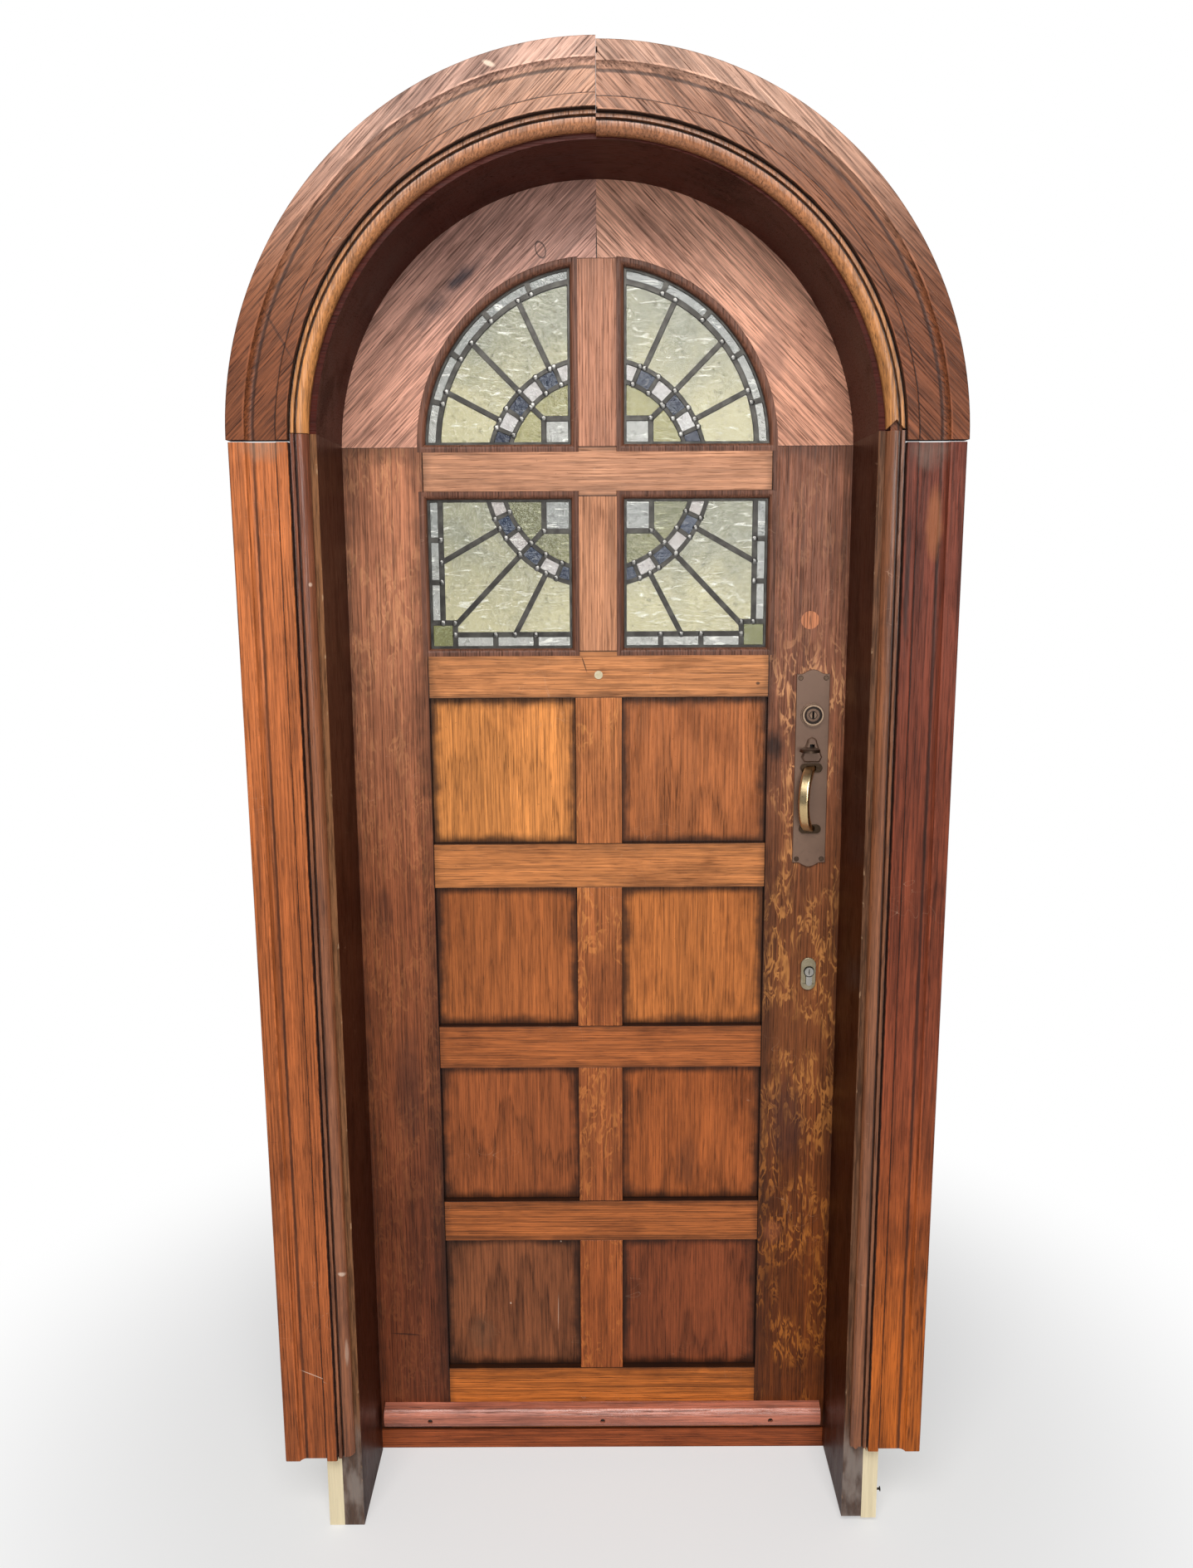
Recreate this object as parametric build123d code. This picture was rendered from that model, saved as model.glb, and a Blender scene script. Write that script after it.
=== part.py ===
from build123d import *
import math
import os

# A round-headed front door in its frame: an oak leaf with leaded lights over flat panels,
# a deep jamb lining and a moulded architrave.
# Millimetres. X runs to the right as seen from outside, Y inwards, Z up from the floor.
# Here Y is 0 at the face of the wall, and write() moves each piece to the foot of the threshold.

# The opening, the leaf's thickness and the jamb lining
OPENING_HALF = 400.0          # half the clear width between the jambs
SPRING_Z = 1758.0             # height of the centre of the jamb's arch
JAMB_THICK = 33.0
REBATE = 12.0                 # how far the rebate is cut into the jamb
DOOR_FACE_Y = 177.0
DOOR_THICK = 44.0
DOOR_BACK_Y = DOOR_FACE_Y + DOOR_THICK
FRAME_DEPTH = DOOR_BACK_Y + 1.5
STOP_GAP = 0.5                # between the door and the shoulder of the rebate
HEAD_JOINT_Z = SPRING_Z + 13.0    # level joint between each jamb and the bent head
CROWN_GAP = 0.2               # the joint of the architrave at the crown
CROWN_CHIPS = ((10.0, 2.4), (84.0, 2.0))    # open places in that joint: depth below the top, width
CROWN_CHIP_TALL = 8.0
RIGHT_JAMB_FOOT = 13.0        # the right jamb stops short of the floor
REBATE_HALF = OPENING_HALF + REBATE
JAMB_BACK_HALF = OPENING_HALF + JAMB_THICK

# Threshold and the packing battens behind the architrave
THRESHOLD_TOP = 40.0
THRESHOLD_STEP_Z = 14.0
THRESHOLD_STEP = 4.0          # the lower part is set back this far
PACKING_WIDE = 25.0
PACKING_TOP = SPRING_Z - 58.0
RIGHT_PACKING_FOOT = 10.0

# Architrave: from the opening outwards, and out from the wall
LAND_SET_BACK = 15.0          # the land that carries the cove starts this far from the opening
LAND_WIDE = 19.0
BAND_WIDE = 17.0              # inner raised band
FIELD_WIDE = 32.0             # sunk flat field
HOLLOW_WIDE = 12.0            # hollow that rises to the outer band
LEG_BAND = 23.5               # outer band of the legs
ARCH_BAND = 26.5              # outer band of the arch
ARCH_THICK = 28.0
LAND_THICK = 8.0
FIELD_THICK = 21.0
ARRIS = 1.4                   # worn corners of the bands
LAND_IN = OPENING_HALF + LAND_SET_BACK
BAND_IN = LAND_IN + LAND_WIDE
FIELD_IN = BAND_IN + BAND_WIDE
HOLLOW_IN = FIELD_IN + FIELD_WIDE
HOLLOW_OUT = HOLLOW_IN + HOLLOW_WIDE
LEG_OUT = HOLLOW_OUT + LEG_BAND
ARCH_OUT = HOLLOW_OUT + ARCH_BAND
LEFT_ARCH_Z = SPRING_Z - 2.0      # centres of the two halves: the right one has dropped
RIGHT_ARCH_Z = SPRING_Z - 6.5
ARCH_END_RISE = 5.0           # each half is cut this far above its centre
LEG_TOP_DROP = 3.2            # open joint below each half arch
LEFT_LEG_FOOT = 143.5
RIGHT_LEG_FOOT = 157.5

# Cove moulding planted on the land
COVE_NOSE_WIDE = 15.5         # ovolo
COVE_QUIRK_WIDE = 3.0
COVE_FILLET_WIDE = 5.5
COVE_SET_BACK = 9.5           # from the opening to the nose of the cove
COVE_PROUD = 19.0
COVE_OVOLO_PROUD = 15.0
COVE_NOSE = 5.0
COVE_QUIRK = 12.0
COVE_LIP = 0.5                # gap between the tongue of the cove and the land
COVE_IN = OPENING_HALF + COVE_SET_BACK
COVE_OVOLO_OUT = COVE_IN + COVE_NOSE_WIDE
COVE_FILLET_IN = COVE_OVOLO_OUT + COVE_QUIRK_WIDE
COVE_FILLET_OUT = COVE_FILLET_IN + COVE_FILLET_WIDE
LEG_COVE_TOP = HEAD_JOINT_Z - 1.0
LEFT_COVE_FOOT = 141.0
RIGHT_COVE_FOOT = 148.0
COVE_BREAK = 9.0              # height of the ragged end of the right cove
COVE_CHIP = 12.0              # height of the broken end of the right arch cove

# The leaf
EDGE_GAP = 3.0
BOTTOM_GAP = 4.0
STILE_WIDE = 134.0
MUNTIN_HALF = 37.5
BOTTOM_RAIL_TOP = 164.0
RAIL = 75.0
PANEL_THICK = 20.0
PANEL_RECESS = 12.0
GROOVE = 10.0
PANEL_TONGUE = 9.0
TENON_LONG = 45.0
TENON_THICK = 14.0
TENON_SHOULDER = 13.0
LEAF_HALF = REBATE_HALF - EDGE_GAP
LEAF_BOTTOM = THRESHOLD_TOP + BOTTOM_GAP
STILE_IN = LEAF_HALF - STILE_WIDE
HEAD_Z = SPRING_Z + 10.0      # top of the stiles, and centre of the inner arc
MUNTIN_TOP = HEAD_Z + STILE_IN + 3.5
RAIL_SHARES = (0.16351, 0.37475, 0.58339, 0.79137, 1.0)    # underside of each rail
RAIL_SPACE = HEAD_Z - RAIL - BOTTOM_RAIL_TOP
RAIL_Z = tuple(BOTTOM_RAIL_TOP + share * RAIL_SPACE for share in RAIL_SHARES)

# Leaded lights, let in from outside and held by beads
LIGHT_REBATE = 7.5
LIGHT_SEAT = 18.0             # depth of the rebate from the face
LIGHT_THICK = 6.0
LIGHT_FIT = 1.0               # clearance round the lead
BEAD_WIDE = 12.0
BEAD_SET_BACK = 1.0
BEAD_ROUND = 7.0
CAME_FLANGE = 1.5
CAME_HEART = 1.6
PANE_FIT = 0.3                # each pane is cut this much short of the lead's heart
EDGE_CAME = 15.0
LEAD_WIDE = 8.5
RING_LEAD_WIDE = 7.0
BORDER = 32.0                 # from the edge of the rebate to the border lead
BURST_Z = RAIL_Z[4] + 38.0    # centre of the sunburst
RING_STEP = 11.0              # angle from one ring piece to the next
LOWER_RING_START = -24.0      # angle of the first lead across the ring
UPPER_RING_START = 23.0
LOWER_RING = (0.558 * STILE_IN, 0.651 * STILE_IN)
UPPER_RING = (0.520 * STILE_IN, 0.6255 * STILE_IN)
LOWER_SQUARE = (0.311 * STILE_IN, 0.3345 * STILE_IN)
UPPER_SQUARE = (0.3055 * STILE_IN, 0.2945 * STILE_IN)
LOWER_RAYS = (-29.3, -46.2, -62.3)
UPPER_RAYS = (27.3, 45.0, 64.6)
UPPER_BORDER_TIES = (66.1, 49.2, 32.2, 15.4)
SIDE_BORDER_TIES = (0.454, 0.712)     # shares of the light's height and width
FOOT_BORDER_TIES = (0.281, 0.539)

# Hinges
PIVOT_X = -(LEAF_HALF + 1.5)
KNUCKLE_R = 5.5
KNUCKLE_CLEAR = 0.3
PIN_R = 3.0
PIN_FIT = 0.05
HINGE_LONG = 100.0
HINGE_Z = (250.0, 985.0, 1600.0)
FLAP_THICK = 2.3
FLAP_PROUD = 0.2
FLAP_DEEP = 30.0
PIVOT_Y = FRAME_DEPTH + KNUCKLE_R + KNUCKLE_CLEAR

# Handle plate with its thumb latch, pull and key cylinder
PLATE_X = LEAF_HALF - 62.0
PLATE_WIDE = 54.0
PLATE_THICK = 4.0
PLATE_BOTTOM = 1098.0
PLATE_TALL = 313.0
PLATE_TOP = PLATE_BOTTOM + PLATE_TALL
PLATE_CROWN = 7.0
PLATE_SCREW_INSET = 6.5
CYL_Z = PLATE_TOP - 66.3
CYL_R = 16.0
CYL_RING_R = 17.5
CYL_PROUD = 8.0
CYL_FIT = 0.3
PLUG_R = 6.5
PLUG_FIT = 0.05
KEYWAY = 1.6
THUMB_Z = PLATE_TOP - 121.0
BOSS_TOP = THUMB_Z + 18.0
BOSS_BOTTOM = THUMB_Z - 23.0
BOSS_WIDE = 34.0
BOSS_PROUD = 6.0
THUMB_STEM = 6.0
THUMB_THICK = 5.0
THUMB_SLOT_CLEAR = 1.0
THUMB_REACH = 34.0
THUMB_PAD = 33.0
THUMB_ASIDE = 7.0             # the pad is bent to the hinge side of its stem
THUMB_TAIL = 26.0
THUMB_PIN_R = 1.6
THUMB_PIN_HALF = 8.0
THUMB_PIN_Y = DOOR_FACE_Y - PLATE_THICK - 1.0
GRIP_TOP = THUMB_Z - 25.0
GRIP_TALL = 117.0
GRIP_BOTTOM = GRIP_TOP - GRIP_TALL
GRIP_PROUD = 40.0
GRIP_WIDE = 17.0
GRIP_THICK = 10.0
GRIP_ASIDE = 18.5             # the bow of the pull swings this far to the hinge side
GRIP_FOOT = (36.0, 15.0)
GRIP_FOOT_THICK = 3.5
GRIP_ROUND = 3.5

# Locks in the lock stile
CASE_DEEP = 75.0
CASE_THICK = 16.0
CASE_FIT = 0.2
FOREND = 2.5
FOREND_WIDE = 22.0
FOREND_PAST = 14.0
UPPER_CASE = (THUMB_Z - 47.0, THUMB_Z + 81.0)
BOLT_THICK = 12.0
BOLT_FIT = 0.3
LATCH_Z = (THUMB_Z - 7.0, THUMB_Z + 11.0)
LATCH_LONG = 54.0
LATCH_THROW = 11.0
LATCH_KEEP_DEEP = 17.0
EURO_X = LEAF_HALF - 56.5
EURO_Z = 909.0
EURO_HEAD_R = 8.5
EURO_LEG = 10.0
EURO_TALL = 33.0
EURO_PROUD = 7.0
LOWER_CASE = (EURO_Z - 51.0, EURO_Z + 53.0)
DEAD_Z = (EURO_Z + 13.0, EURO_Z + 33.0)
DEAD_LONG = 58.0
DEAD_THROW = 20.0
KEEP_THICK = 1.5
KEEP_FIT = 1.5
ESC_WIDE = 25.0
ESC_TALL = 56.5
ESC_Z = EURO_Z - 4.5
ESC_THICK = 4.0
INSIDE_PLATE = 2.5

# Weather bar, viewer, plug and screws
BAR_HALF = LEAF_HALF - 17.0
BAR_BOTTOM = 58.0
BAR_TOP = 96.0
BAR_PROUD = 21.0
BAR_SCREW_X = (83.0 - BAR_HALF, 1.0, BAR_HALF - 90.0)
BAR_SCREW_Z = 72.0
VIEWER_Z = RAIL_Z[3] + 36.8
VIEWER_R = 5.7
VIEWER_RIM = 6.7
WOOD_PLUG = (LEAF_HALF - 69.0, VIEWER_Z + 86.2)
WOOD_PLUG_R = 14.5
WOOD_PLUG_DEEP = 20.0
SCREW_R = 2.0
SCREW_HEAD_R = 4.0
SCREW_HEAD = 1.6
SCREW_LONG = 22.0
HOLE_FIT = 0.1

FOOT_Y = (DOOR_FACE_Y + THRESHOLD_STEP + FRAME_DEPTH) / 2
CASE_Y = (DOOR_FACE_Y + DOOR_BACK_Y) / 2
FAR = 4 * OPENING_HALF        # past every piece


def block(x1, x2, y1, y2, z1, z2):
    """A box between two corners."""
    middle = Pos((x1 + x2) / 2, (y1 + y2) / 2, (z1 + z2) / 2)
    return middle * Box(x2 - x1, y2 - y1, z2 - z1)


def rect(x1, x2, z1, z2):
    """A rectangle in the face of the door."""
    return Pos((x1 + x2) / 2, (z1 + z2) / 2) * Rectangle(x2 - x1, z2 - z1)


def disc(radius, x, z):
    return Pos(x, z) * Circle(radius)


def through(outline, y1, y2):
    """An outline in the face of the door, given thickness from y1 to y2."""
    return extrude(Plane.XZ.offset(-y2) * outline, amount=y2 - y1)


def rod(radius, x, z, y1, y2):
    """A round bar along Y."""
    return through(disc(radius, x, z), y1, y2)


def mirrored(piece):
    return mirror(piece, about=Plane.YZ)


def both(piece):
    return [piece, mirrored(piece)]


def write(name, solids):
    """Writes one piece, or like pieces together, in the frame of the threshold's foot."""
    if not isinstance(solids, (list, tuple)):
        solids = [solids]
    moved = []
    for group in solids:
        for solid in group.solids():
            moved.append(Pos(0, -FOOT_Y, 0) * solid)
    piece = moved[0] if len(moved) == 1 else Compound(children=moved)
    export_step(piece, "parts/" + name + ".step")


# Jamb lining

def jamb_section():
    """Plan of the right jamb: a board with its rebate at the back inner corner."""
    board = Pos(OPENING_HALF + JAMB_THICK / 2, FRAME_DEPTH / 2) * Rectangle(JAMB_THICK, FRAME_DEPTH)
    shoulder = DOOR_FACE_Y - STOP_GAP
    rebate_y = (shoulder + FRAME_DEPTH) / 2
    rebate = Pos(OPENING_HALF + REBATE / 2, rebate_y) * Rectangle(REBATE, FRAME_DEPTH - shoulder)
    return board - rebate


def straight(section, z1, z2):
    """A plan section run up from z1 to z2."""
    return extrude(Plane.XY.offset(z1) * section, amount=z2 - z1)


def quarter_bend(section, centre_z, cut_z, gap):
    """A plan section swept round the right half of the arch, cut off level and at the crown."""
    placed = Plane.XY.offset(centre_z) * section
    axis = Axis((0, 0, centre_z), (0, -1, 0))
    bend = revolve(placed, axis=axis, revolution_arc=90)
    return bend & block(gap / 2, FAR, -FAR, FAR, cut_z, centre_z + FAR)


def keep_pocket(z1, z2, depth):
    """The mortice in the jamb that a bolt goes into."""
    half = BOLT_THICK / 2 + KEEP_FIT
    x1 = REBATE_HALF - 1
    x2 = REBATE_HALF + depth
    return block(x1, x2, CASE_Y - half, CASE_Y + half, z1 - KEEP_FIT, z2 + KEEP_FIT)


def keep_plate(z1, z2):
    """The thin plate let into the rebate of the jamb round a mortice."""
    y1 = CASE_Y - BOLT_THICK / 2 - 8
    return block(REBATE_HALF, REBATE_HALF + KEEP_THICK, y1, FRAME_DEPTH, z1 - 16, z2 + 16)


def make_jambs():
    left = mirrored(straight(jamb_section(), 0, HEAD_JOINT_Z))
    for z in HINGE_Z:
        left -= frame_flap_seat(z)
    right = straight(jamb_section(), RIGHT_JAMB_FOOT, HEAD_JOINT_Z)
    right -= keep_plate(*LATCH_Z)
    right -= keep_plate(*DEAD_Z)
    right -= keep_pocket(*LATCH_Z, LATCH_KEEP_DEEP)
    right -= keep_pocket(*DEAD_Z, DEAD_THROW)
    head = quarter_bend(jamb_section(), SPRING_Z, HEAD_JOINT_Z, 0)
    write("left_jamb", left)
    write("right_jamb", right)
    write("right_head_jamb", head)
    write("left_head_jamb", mirrored(head))


def make_keeps():
    plates = []
    for z1, z2, depth in ((*LATCH_Z, LATCH_KEEP_DEEP), (*DEAD_Z, DEAD_THROW)):
        plates.append(keep_plate(z1, z2) - keep_pocket(z1, z2, depth))
    write("keep_plates", plates)


def make_threshold():
    outline = rect(-REBATE_HALF, REBATE_HALF, 0, THRESHOLD_TOP)
    sill = through(outline, DOOR_FACE_Y, FRAME_DEPTH)
    step_y = DOOR_FACE_Y + THRESHOLD_STEP
    sill -= block(-FAR, FAR, DOOR_FACE_Y - 1, step_y, -1, THRESHOLD_STEP_Z)
    write("threshold", sill)


def make_packing():
    x1 = JAMB_BACK_HALF
    x2 = JAMB_BACK_HALF + PACKING_WIDE
    write("left_packing", mirrored(block(x1, x2, 0, FRAME_DEPTH, 0, PACKING_TOP)))
    write("right_packing", block(x1, x2, 0, FRAME_DEPTH, RIGHT_PACKING_FOOT, PACKING_TOP))


# Architrave and its cove

def architrave_section(outer):
    """Plan of the right architrave: land, raised band, sunk field, hollow and outer band."""
    rise_x = HOLLOW_IN + 0.70 * (HOLLOW_OUT - HOLLOW_IN)
    rise_y = -FIELD_THICK - 0.30 * (ARCH_THICK - FIELD_THICK)
    hollow = ThreePointArc((HOLLOW_IN, -FIELD_THICK), (rise_x, rise_y), (HOLLOW_OUT, -ARCH_THICK))
    corners = [
        (HOLLOW_OUT, -ARCH_THICK),
        (outer, -ARCH_THICK),
        (outer, 0),
        (LAND_IN, 0),
        (LAND_IN, -LAND_THICK),
        (BAND_IN, -LAND_THICK),
        (BAND_IN, -ARCH_THICK),
        (FIELD_IN, -ARCH_THICK),
        (FIELD_IN, -FIELD_THICK),
        (HOLLOW_IN, -FIELD_THICK),
    ]
    face = make_face(Curve() + [hollow, Polyline(*corners)])
    worn = [(outer, -ARCH_THICK), (BAND_IN, -ARCH_THICK), (FIELD_IN, -ARCH_THICK)]
    points = []
    for vertex in face.vertices():
        if any(math.hypot(vertex.X - x, vertex.Y - y) < 0.01 for x, y in worn):
            points.append(vertex)
    return chamfer(points, ARRIS)


def cove_section():
    """Plan of the right cove: an ovolo and a fillet with a quirk between, and a tongue behind."""
    middle = (COVE_IN + 0.34 * (COVE_OVOLO_OUT - COVE_IN), -COVE_OVOLO_PROUD + 2.2)
    ovolo = ThreePointArc((COVE_IN, -COVE_NOSE), middle, (COVE_OVOLO_OUT, -COVE_OVOLO_PROUD))
    rest = Polyline(
        (COVE_OVOLO_OUT, -COVE_OVOLO_PROUD),
        (COVE_OVOLO_OUT + 0.3, -COVE_QUIRK),
        (COVE_FILLET_IN - 0.8, -COVE_QUIRK),
        (COVE_FILLET_IN, -COVE_PROUD),
        (COVE_FILLET_OUT, -COVE_PROUD),
        (COVE_FILLET_OUT, -LAND_THICK),
        (LAND_IN - COVE_LIP, -LAND_THICK),
        (LAND_IN - COVE_LIP, 0),
        (COVE_IN, 0),
        (COVE_IN, -COVE_NOSE),
    )
    return make_face(Curve() + [ovolo, rest])


def make_architraves():
    left_top = LEFT_ARCH_Z + ARCH_END_RISE - LEG_TOP_DROP
    right_top = RIGHT_ARCH_Z + ARCH_END_RISE - LEG_TOP_DROP
    leg = architrave_section(LEG_OUT)
    bend = architrave_section(ARCH_OUT)
    left = quarter_bend(bend, LEFT_ARCH_Z, LEFT_ARCH_Z + ARCH_END_RISE, CROWN_GAP)
    right = quarter_bend(bend, RIGHT_ARCH_Z, RIGHT_ARCH_Z + ARCH_END_RISE, CROWN_GAP)
    for below, wide in CROWN_CHIPS:
        z = RIGHT_ARCH_Z + ARCH_OUT - below
        right -= block(-1, wide, -FAR, FAR, z - CROWN_CHIP_TALL, z)
    write("left_architrave", mirrored(straight(leg, LEFT_LEG_FOOT, left_top)))
    write("right_architrave", straight(leg, RIGHT_LEG_FOOT, right_top))
    write("left_arch_architrave", mirrored(left))
    write("right_arch_architrave", right)


def ragged(x1, x2, z, height, teeth):
    """A saw-toothed outline below z that takes a broken end off a moulding."""
    points = [(x1, z - 3 * height), (x1, z + height * teeth[0])]
    step = (x2 - x1) / (len(teeth) - 1)
    for count, tooth in enumerate(teeth[1:], 1):
        points.append((x1 + count * step, z + height * tooth))
    points.append((x2, z - 3 * height))
    return make_face(Polyline(*points, close=True))


def make_coves():
    section = cove_section()
    left = straight(section, LEFT_COVE_FOOT, LEG_COVE_TOP)
    right = straight(section, RIGHT_COVE_FOOT - COVE_BREAK, LEG_COVE_TOP)
    x1 = COVE_IN - 1
    x2 = COVE_FILLET_OUT + 1
    end = ragged(x1, x2, RIGHT_COVE_FOOT, COVE_BREAK, (0.1, 0.55, 0.3, 1.0, 0.7, 1.0, 0.2))
    right -= through(end, -ARCH_THICK - 5, 5)
    left_arch = quarter_bend(section, LEFT_ARCH_Z, HEAD_JOINT_Z, CROWN_GAP)
    right_arch = quarter_bend(section, RIGHT_ARCH_Z, HEAD_JOINT_Z, CROWN_GAP)
    chip = ragged(x1, x2, HEAD_JOINT_Z, COVE_CHIP, (0.1, 0.5, 0.9, 1.2, 0.7, 0.2, 0.05))
    right_arch -= through(chip, -ARCH_THICK - 5, 5)
    write("left_cove", mirrored(left))
    write("right_cove", right)
    write("left_arch_cove", mirrored(left_arch))
    write("right_arch_cove", right_arch)


# The leaf

def leaf_outline():
    """The whole outline of the leaf: straight sides under a round head."""
    return rect(-LEAF_HALF, LEAF_HALF, LEAF_BOTTOM, SPRING_Z) + disc(LEAF_HALF, 0, SPRING_Z)


def rows():
    """The bottom and top of each row of panels, from the floor up."""
    spans = []
    z = BOTTOM_RAIL_TOP
    for rail in RAIL_Z[:4]:
        spans.append((z, rail))
        z = rail + RAIL
    return spans


def lower_light(inset):
    """The rebate of the right lower light, drawn in by inset."""
    x1 = MUNTIN_HALF - LIGHT_REBATE + inset
    x2 = STILE_IN + LIGHT_REBATE - inset
    z1 = RAIL_Z[3] + RAIL - LIGHT_REBATE + inset
    z2 = RAIL_Z[4] + LIGHT_REBATE - inset
    return rect(x1, x2, z1, z2)


def upper_light(inset):
    """The rebate of the right upper light, a quarter round, drawn in by inset."""
    radius = STILE_IN + LIGHT_REBATE - inset
    corner = rect(MUNTIN_HALF - LIGHT_REBATE + inset, FAR, HEAD_Z - LIGHT_REBATE + inset, FAR + HEAD_Z)
    return disc(radius, 0, HEAD_Z) & corner


def light_cuts():
    """The rebates for the four lights, cut from the face of the leaf."""
    cuts = []
    for light in (lower_light(0), upper_light(0)):
        cut = through(light, DOOR_FACE_Y - 1, DOOR_FACE_Y + LIGHT_SEAT)
        cuts += both(cut)
    return cuts


def groove_cuts():
    """The grooves for the panels, as boxes that reach into the timbers all round."""
    y1 = DOOR_FACE_Y + PANEL_RECESS
    cuts = []
    for z1, z2 in rows():
        hole = rect(MUNTIN_HALF - GROOVE, STILE_IN + GROOVE, z1 - GROOVE, z2 + GROOVE)
        cuts += both(through(hole, y1, y1 + PANEL_THICK))
    return cuts


def rail_spans():
    spans = [(LEAF_BOTTOM, BOTTOM_RAIL_TOP)]
    for z in RAIL_Z:
        spans.append((z, z + RAIL))
    return spans


def tenon(z1, z2):
    """The right tenon of a rail."""
    y1 = CASE_Y - TENON_THICK / 2
    low = z1 + TENON_SHOULDER
    high = z2 - TENON_SHOULDER
    return block(STILE_IN, STILE_IN + TENON_LONG, y1, y1 + TENON_THICK, low, high)


def rail_piece(z1, z2, cuts):
    rail = through(rect(-STILE_IN, STILE_IN, z1, z2), DOOR_FACE_Y, DOOR_BACK_Y)
    for cut in cuts:
        rail -= cut
    right = tenon(z1, z2)
    return rail + right + mirrored(right)


def stile_piece(cuts):
    """The right stile with its mortices, before the locks are let in."""
    outline = leaf_outline() & rect(STILE_IN, LEAF_HALF + 10, LEAF_BOTTOM, HEAD_Z)
    stile = through(outline, DOOR_FACE_Y, DOOR_BACK_Y)
    for cut in cuts:
        stile -= cut
    for z1, z2 in rail_spans():
        stile -= tenon(z1, z2)
    return stile


def screw_hole(x, z, y1):
    return rod(SCREW_R + HOLE_FIT, x, z, y1, y1 + SCREW_LONG + 1)


def plate_screws():
    """Places of the four screws of the handle plate."""
    places = []
    for z in (PLATE_BOTTOM + PLATE_SCREW_INSET, PLATE_TOP - PLATE_SCREW_INSET):
        for side in (-1, 1):
            places.append((PLATE_X + side * (PLATE_WIDE / 2 - PLATE_SCREW_INSET), z))
    return places


def make_stiles(cuts):
    left = mirrored(stile_piece(cuts))
    for z in HINGE_Z:
        left -= door_flap_seat(z)
    left -= screw_hole(BAR_SCREW_X[0], BAR_SCREW_Z, DOOR_FACE_Y - 1)
    right = stile_piece(cuts)
    right -= lock_mortice(UPPER_CASE)
    right -= lock_mortice(LOWER_CASE)
    right -= rod(CYL_R + CYL_FIT, PLATE_X, CYL_Z, DOOR_FACE_Y - 1, CASE_Y)
    right -= thumb_slot(DOOR_FACE_Y - 1, DOOR_BACK_Y + 1)
    right -= through(euro_outline(CASE_FIT), DOOR_FACE_Y - 1, DOOR_BACK_Y + 1)
    right -= rod(WOOD_PLUG_R, *WOOD_PLUG, DOOR_FACE_Y - 1, DOOR_FACE_Y + WOOD_PLUG_DEEP)
    right -= screw_hole(BAR_SCREW_X[2], BAR_SCREW_Z, DOOR_FACE_Y - 1)
    for x, z in plate_screws():
        right -= screw_hole(x, z, DOOR_FACE_Y - 1)
    write("hinge_stile", left)
    write("lock_stile", right)


def make_rails(cuts):
    spans = rail_spans()
    bottom = rail_piece(*spans[0], cuts) - screw_hole(BAR_SCREW_X[1], BAR_SCREW_Z, DOOR_FACE_Y - 1)
    write("bottom_rail", bottom)
    names = ("low_rail", "middle_rail", "lock_rail", "viewer_rail", "transom_rail")
    for name, span in zip(names, spans[1:]):
        rail = rail_piece(*span, cuts)
        if name == "viewer_rail":
            rail -= rod(VIEWER_R + HOLE_FIT, 0, VIEWER_Z, DOOR_FACE_Y - 1, DOOR_BACK_Y + 1)
        write(name, rail)


def make_heads(cuts):
    """The two shaped timbers that close the head of the leaf."""
    half = leaf_outline() & rect(0, FAR, HEAD_Z, HEAD_Z + FAR)
    half -= disc(STILE_IN, 0, HEAD_Z)
    half -= rect(-1, MUNTIN_HALF, HEAD_Z, MUNTIN_TOP)
    head = through(half, DOOR_FACE_Y, DOOR_BACK_Y)
    for cut in cuts:
        head -= cut
    write("right_head", head)
    write("left_head", mirrored(head))


def make_muntins(cuts):
    upright = rect(-MUNTIN_HALF, MUNTIN_HALF, HEAD_Z, MUNTIN_TOP)
    short = rect(-MUNTIN_HALF, MUNTIN_HALF, RAIL_Z[3] + RAIL, RAIL_Z[4])
    upper = through(upright, DOOR_FACE_Y, DOOR_BACK_Y)
    lower = through(short, DOOR_FACE_Y, DOOR_BACK_Y)
    between = []
    for z1, z2 in rows():
        between.append(through(rect(-MUNTIN_HALF, MUNTIN_HALF, z1, z2), DOOR_FACE_Y, DOOR_BACK_Y))
    for cut in cuts:
        upper -= cut
        lower -= cut
        between = [piece - cut for piece in between]
    write("upper_light_muntin", upper)
    write("lower_light_muntin", lower)
    write("panel_muntins", between)


def make_panels():
    names = ("bottom_panels", "lower_middle_panels", "upper_middle_panels", "top_panels")
    y1 = DOOR_FACE_Y + PANEL_RECESS
    grow = PANEL_TONGUE
    for name, (z1, z2) in zip(names, rows()):
        outline = rect(MUNTIN_HALF - grow, STILE_IN + grow, z1 - grow, z2 + grow)
        write(name, both(through(outline, y1, y1 + PANEL_THICK)))


# Leaded lights

def bar(x1, z1, x2, z2, width):
    """A straight strip between two points."""
    long = math.hypot(x2 - x1, z2 - z1)
    turn = math.degrees(math.atan2(z2 - z1, x2 - x1))
    return Pos((x1 + x2) / 2, (z1 + z2) / 2) * Rot(0, 0, turn) * Rectangle(long, width)


def spoke(angle, r1, r2, width, centre_z=BURST_Z):
    """A strip that points away from a centre on the middle line of the door."""
    cos = math.cos(math.radians(angle))
    sin = math.sin(math.radians(angle))
    return bar(r1 * cos, centre_z + r1 * sin, r2 * cos, centre_z + r2 * sin, width)


def hoop(radius, width, centre_z=BURST_Z):
    return disc(radius + width / 2, 0, centre_z) - disc(radius - width / 2, 0, centre_z)


def joined(strips):
    total = strips[0]
    for strip in strips[1:]:
        total += strip
    return total


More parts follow.
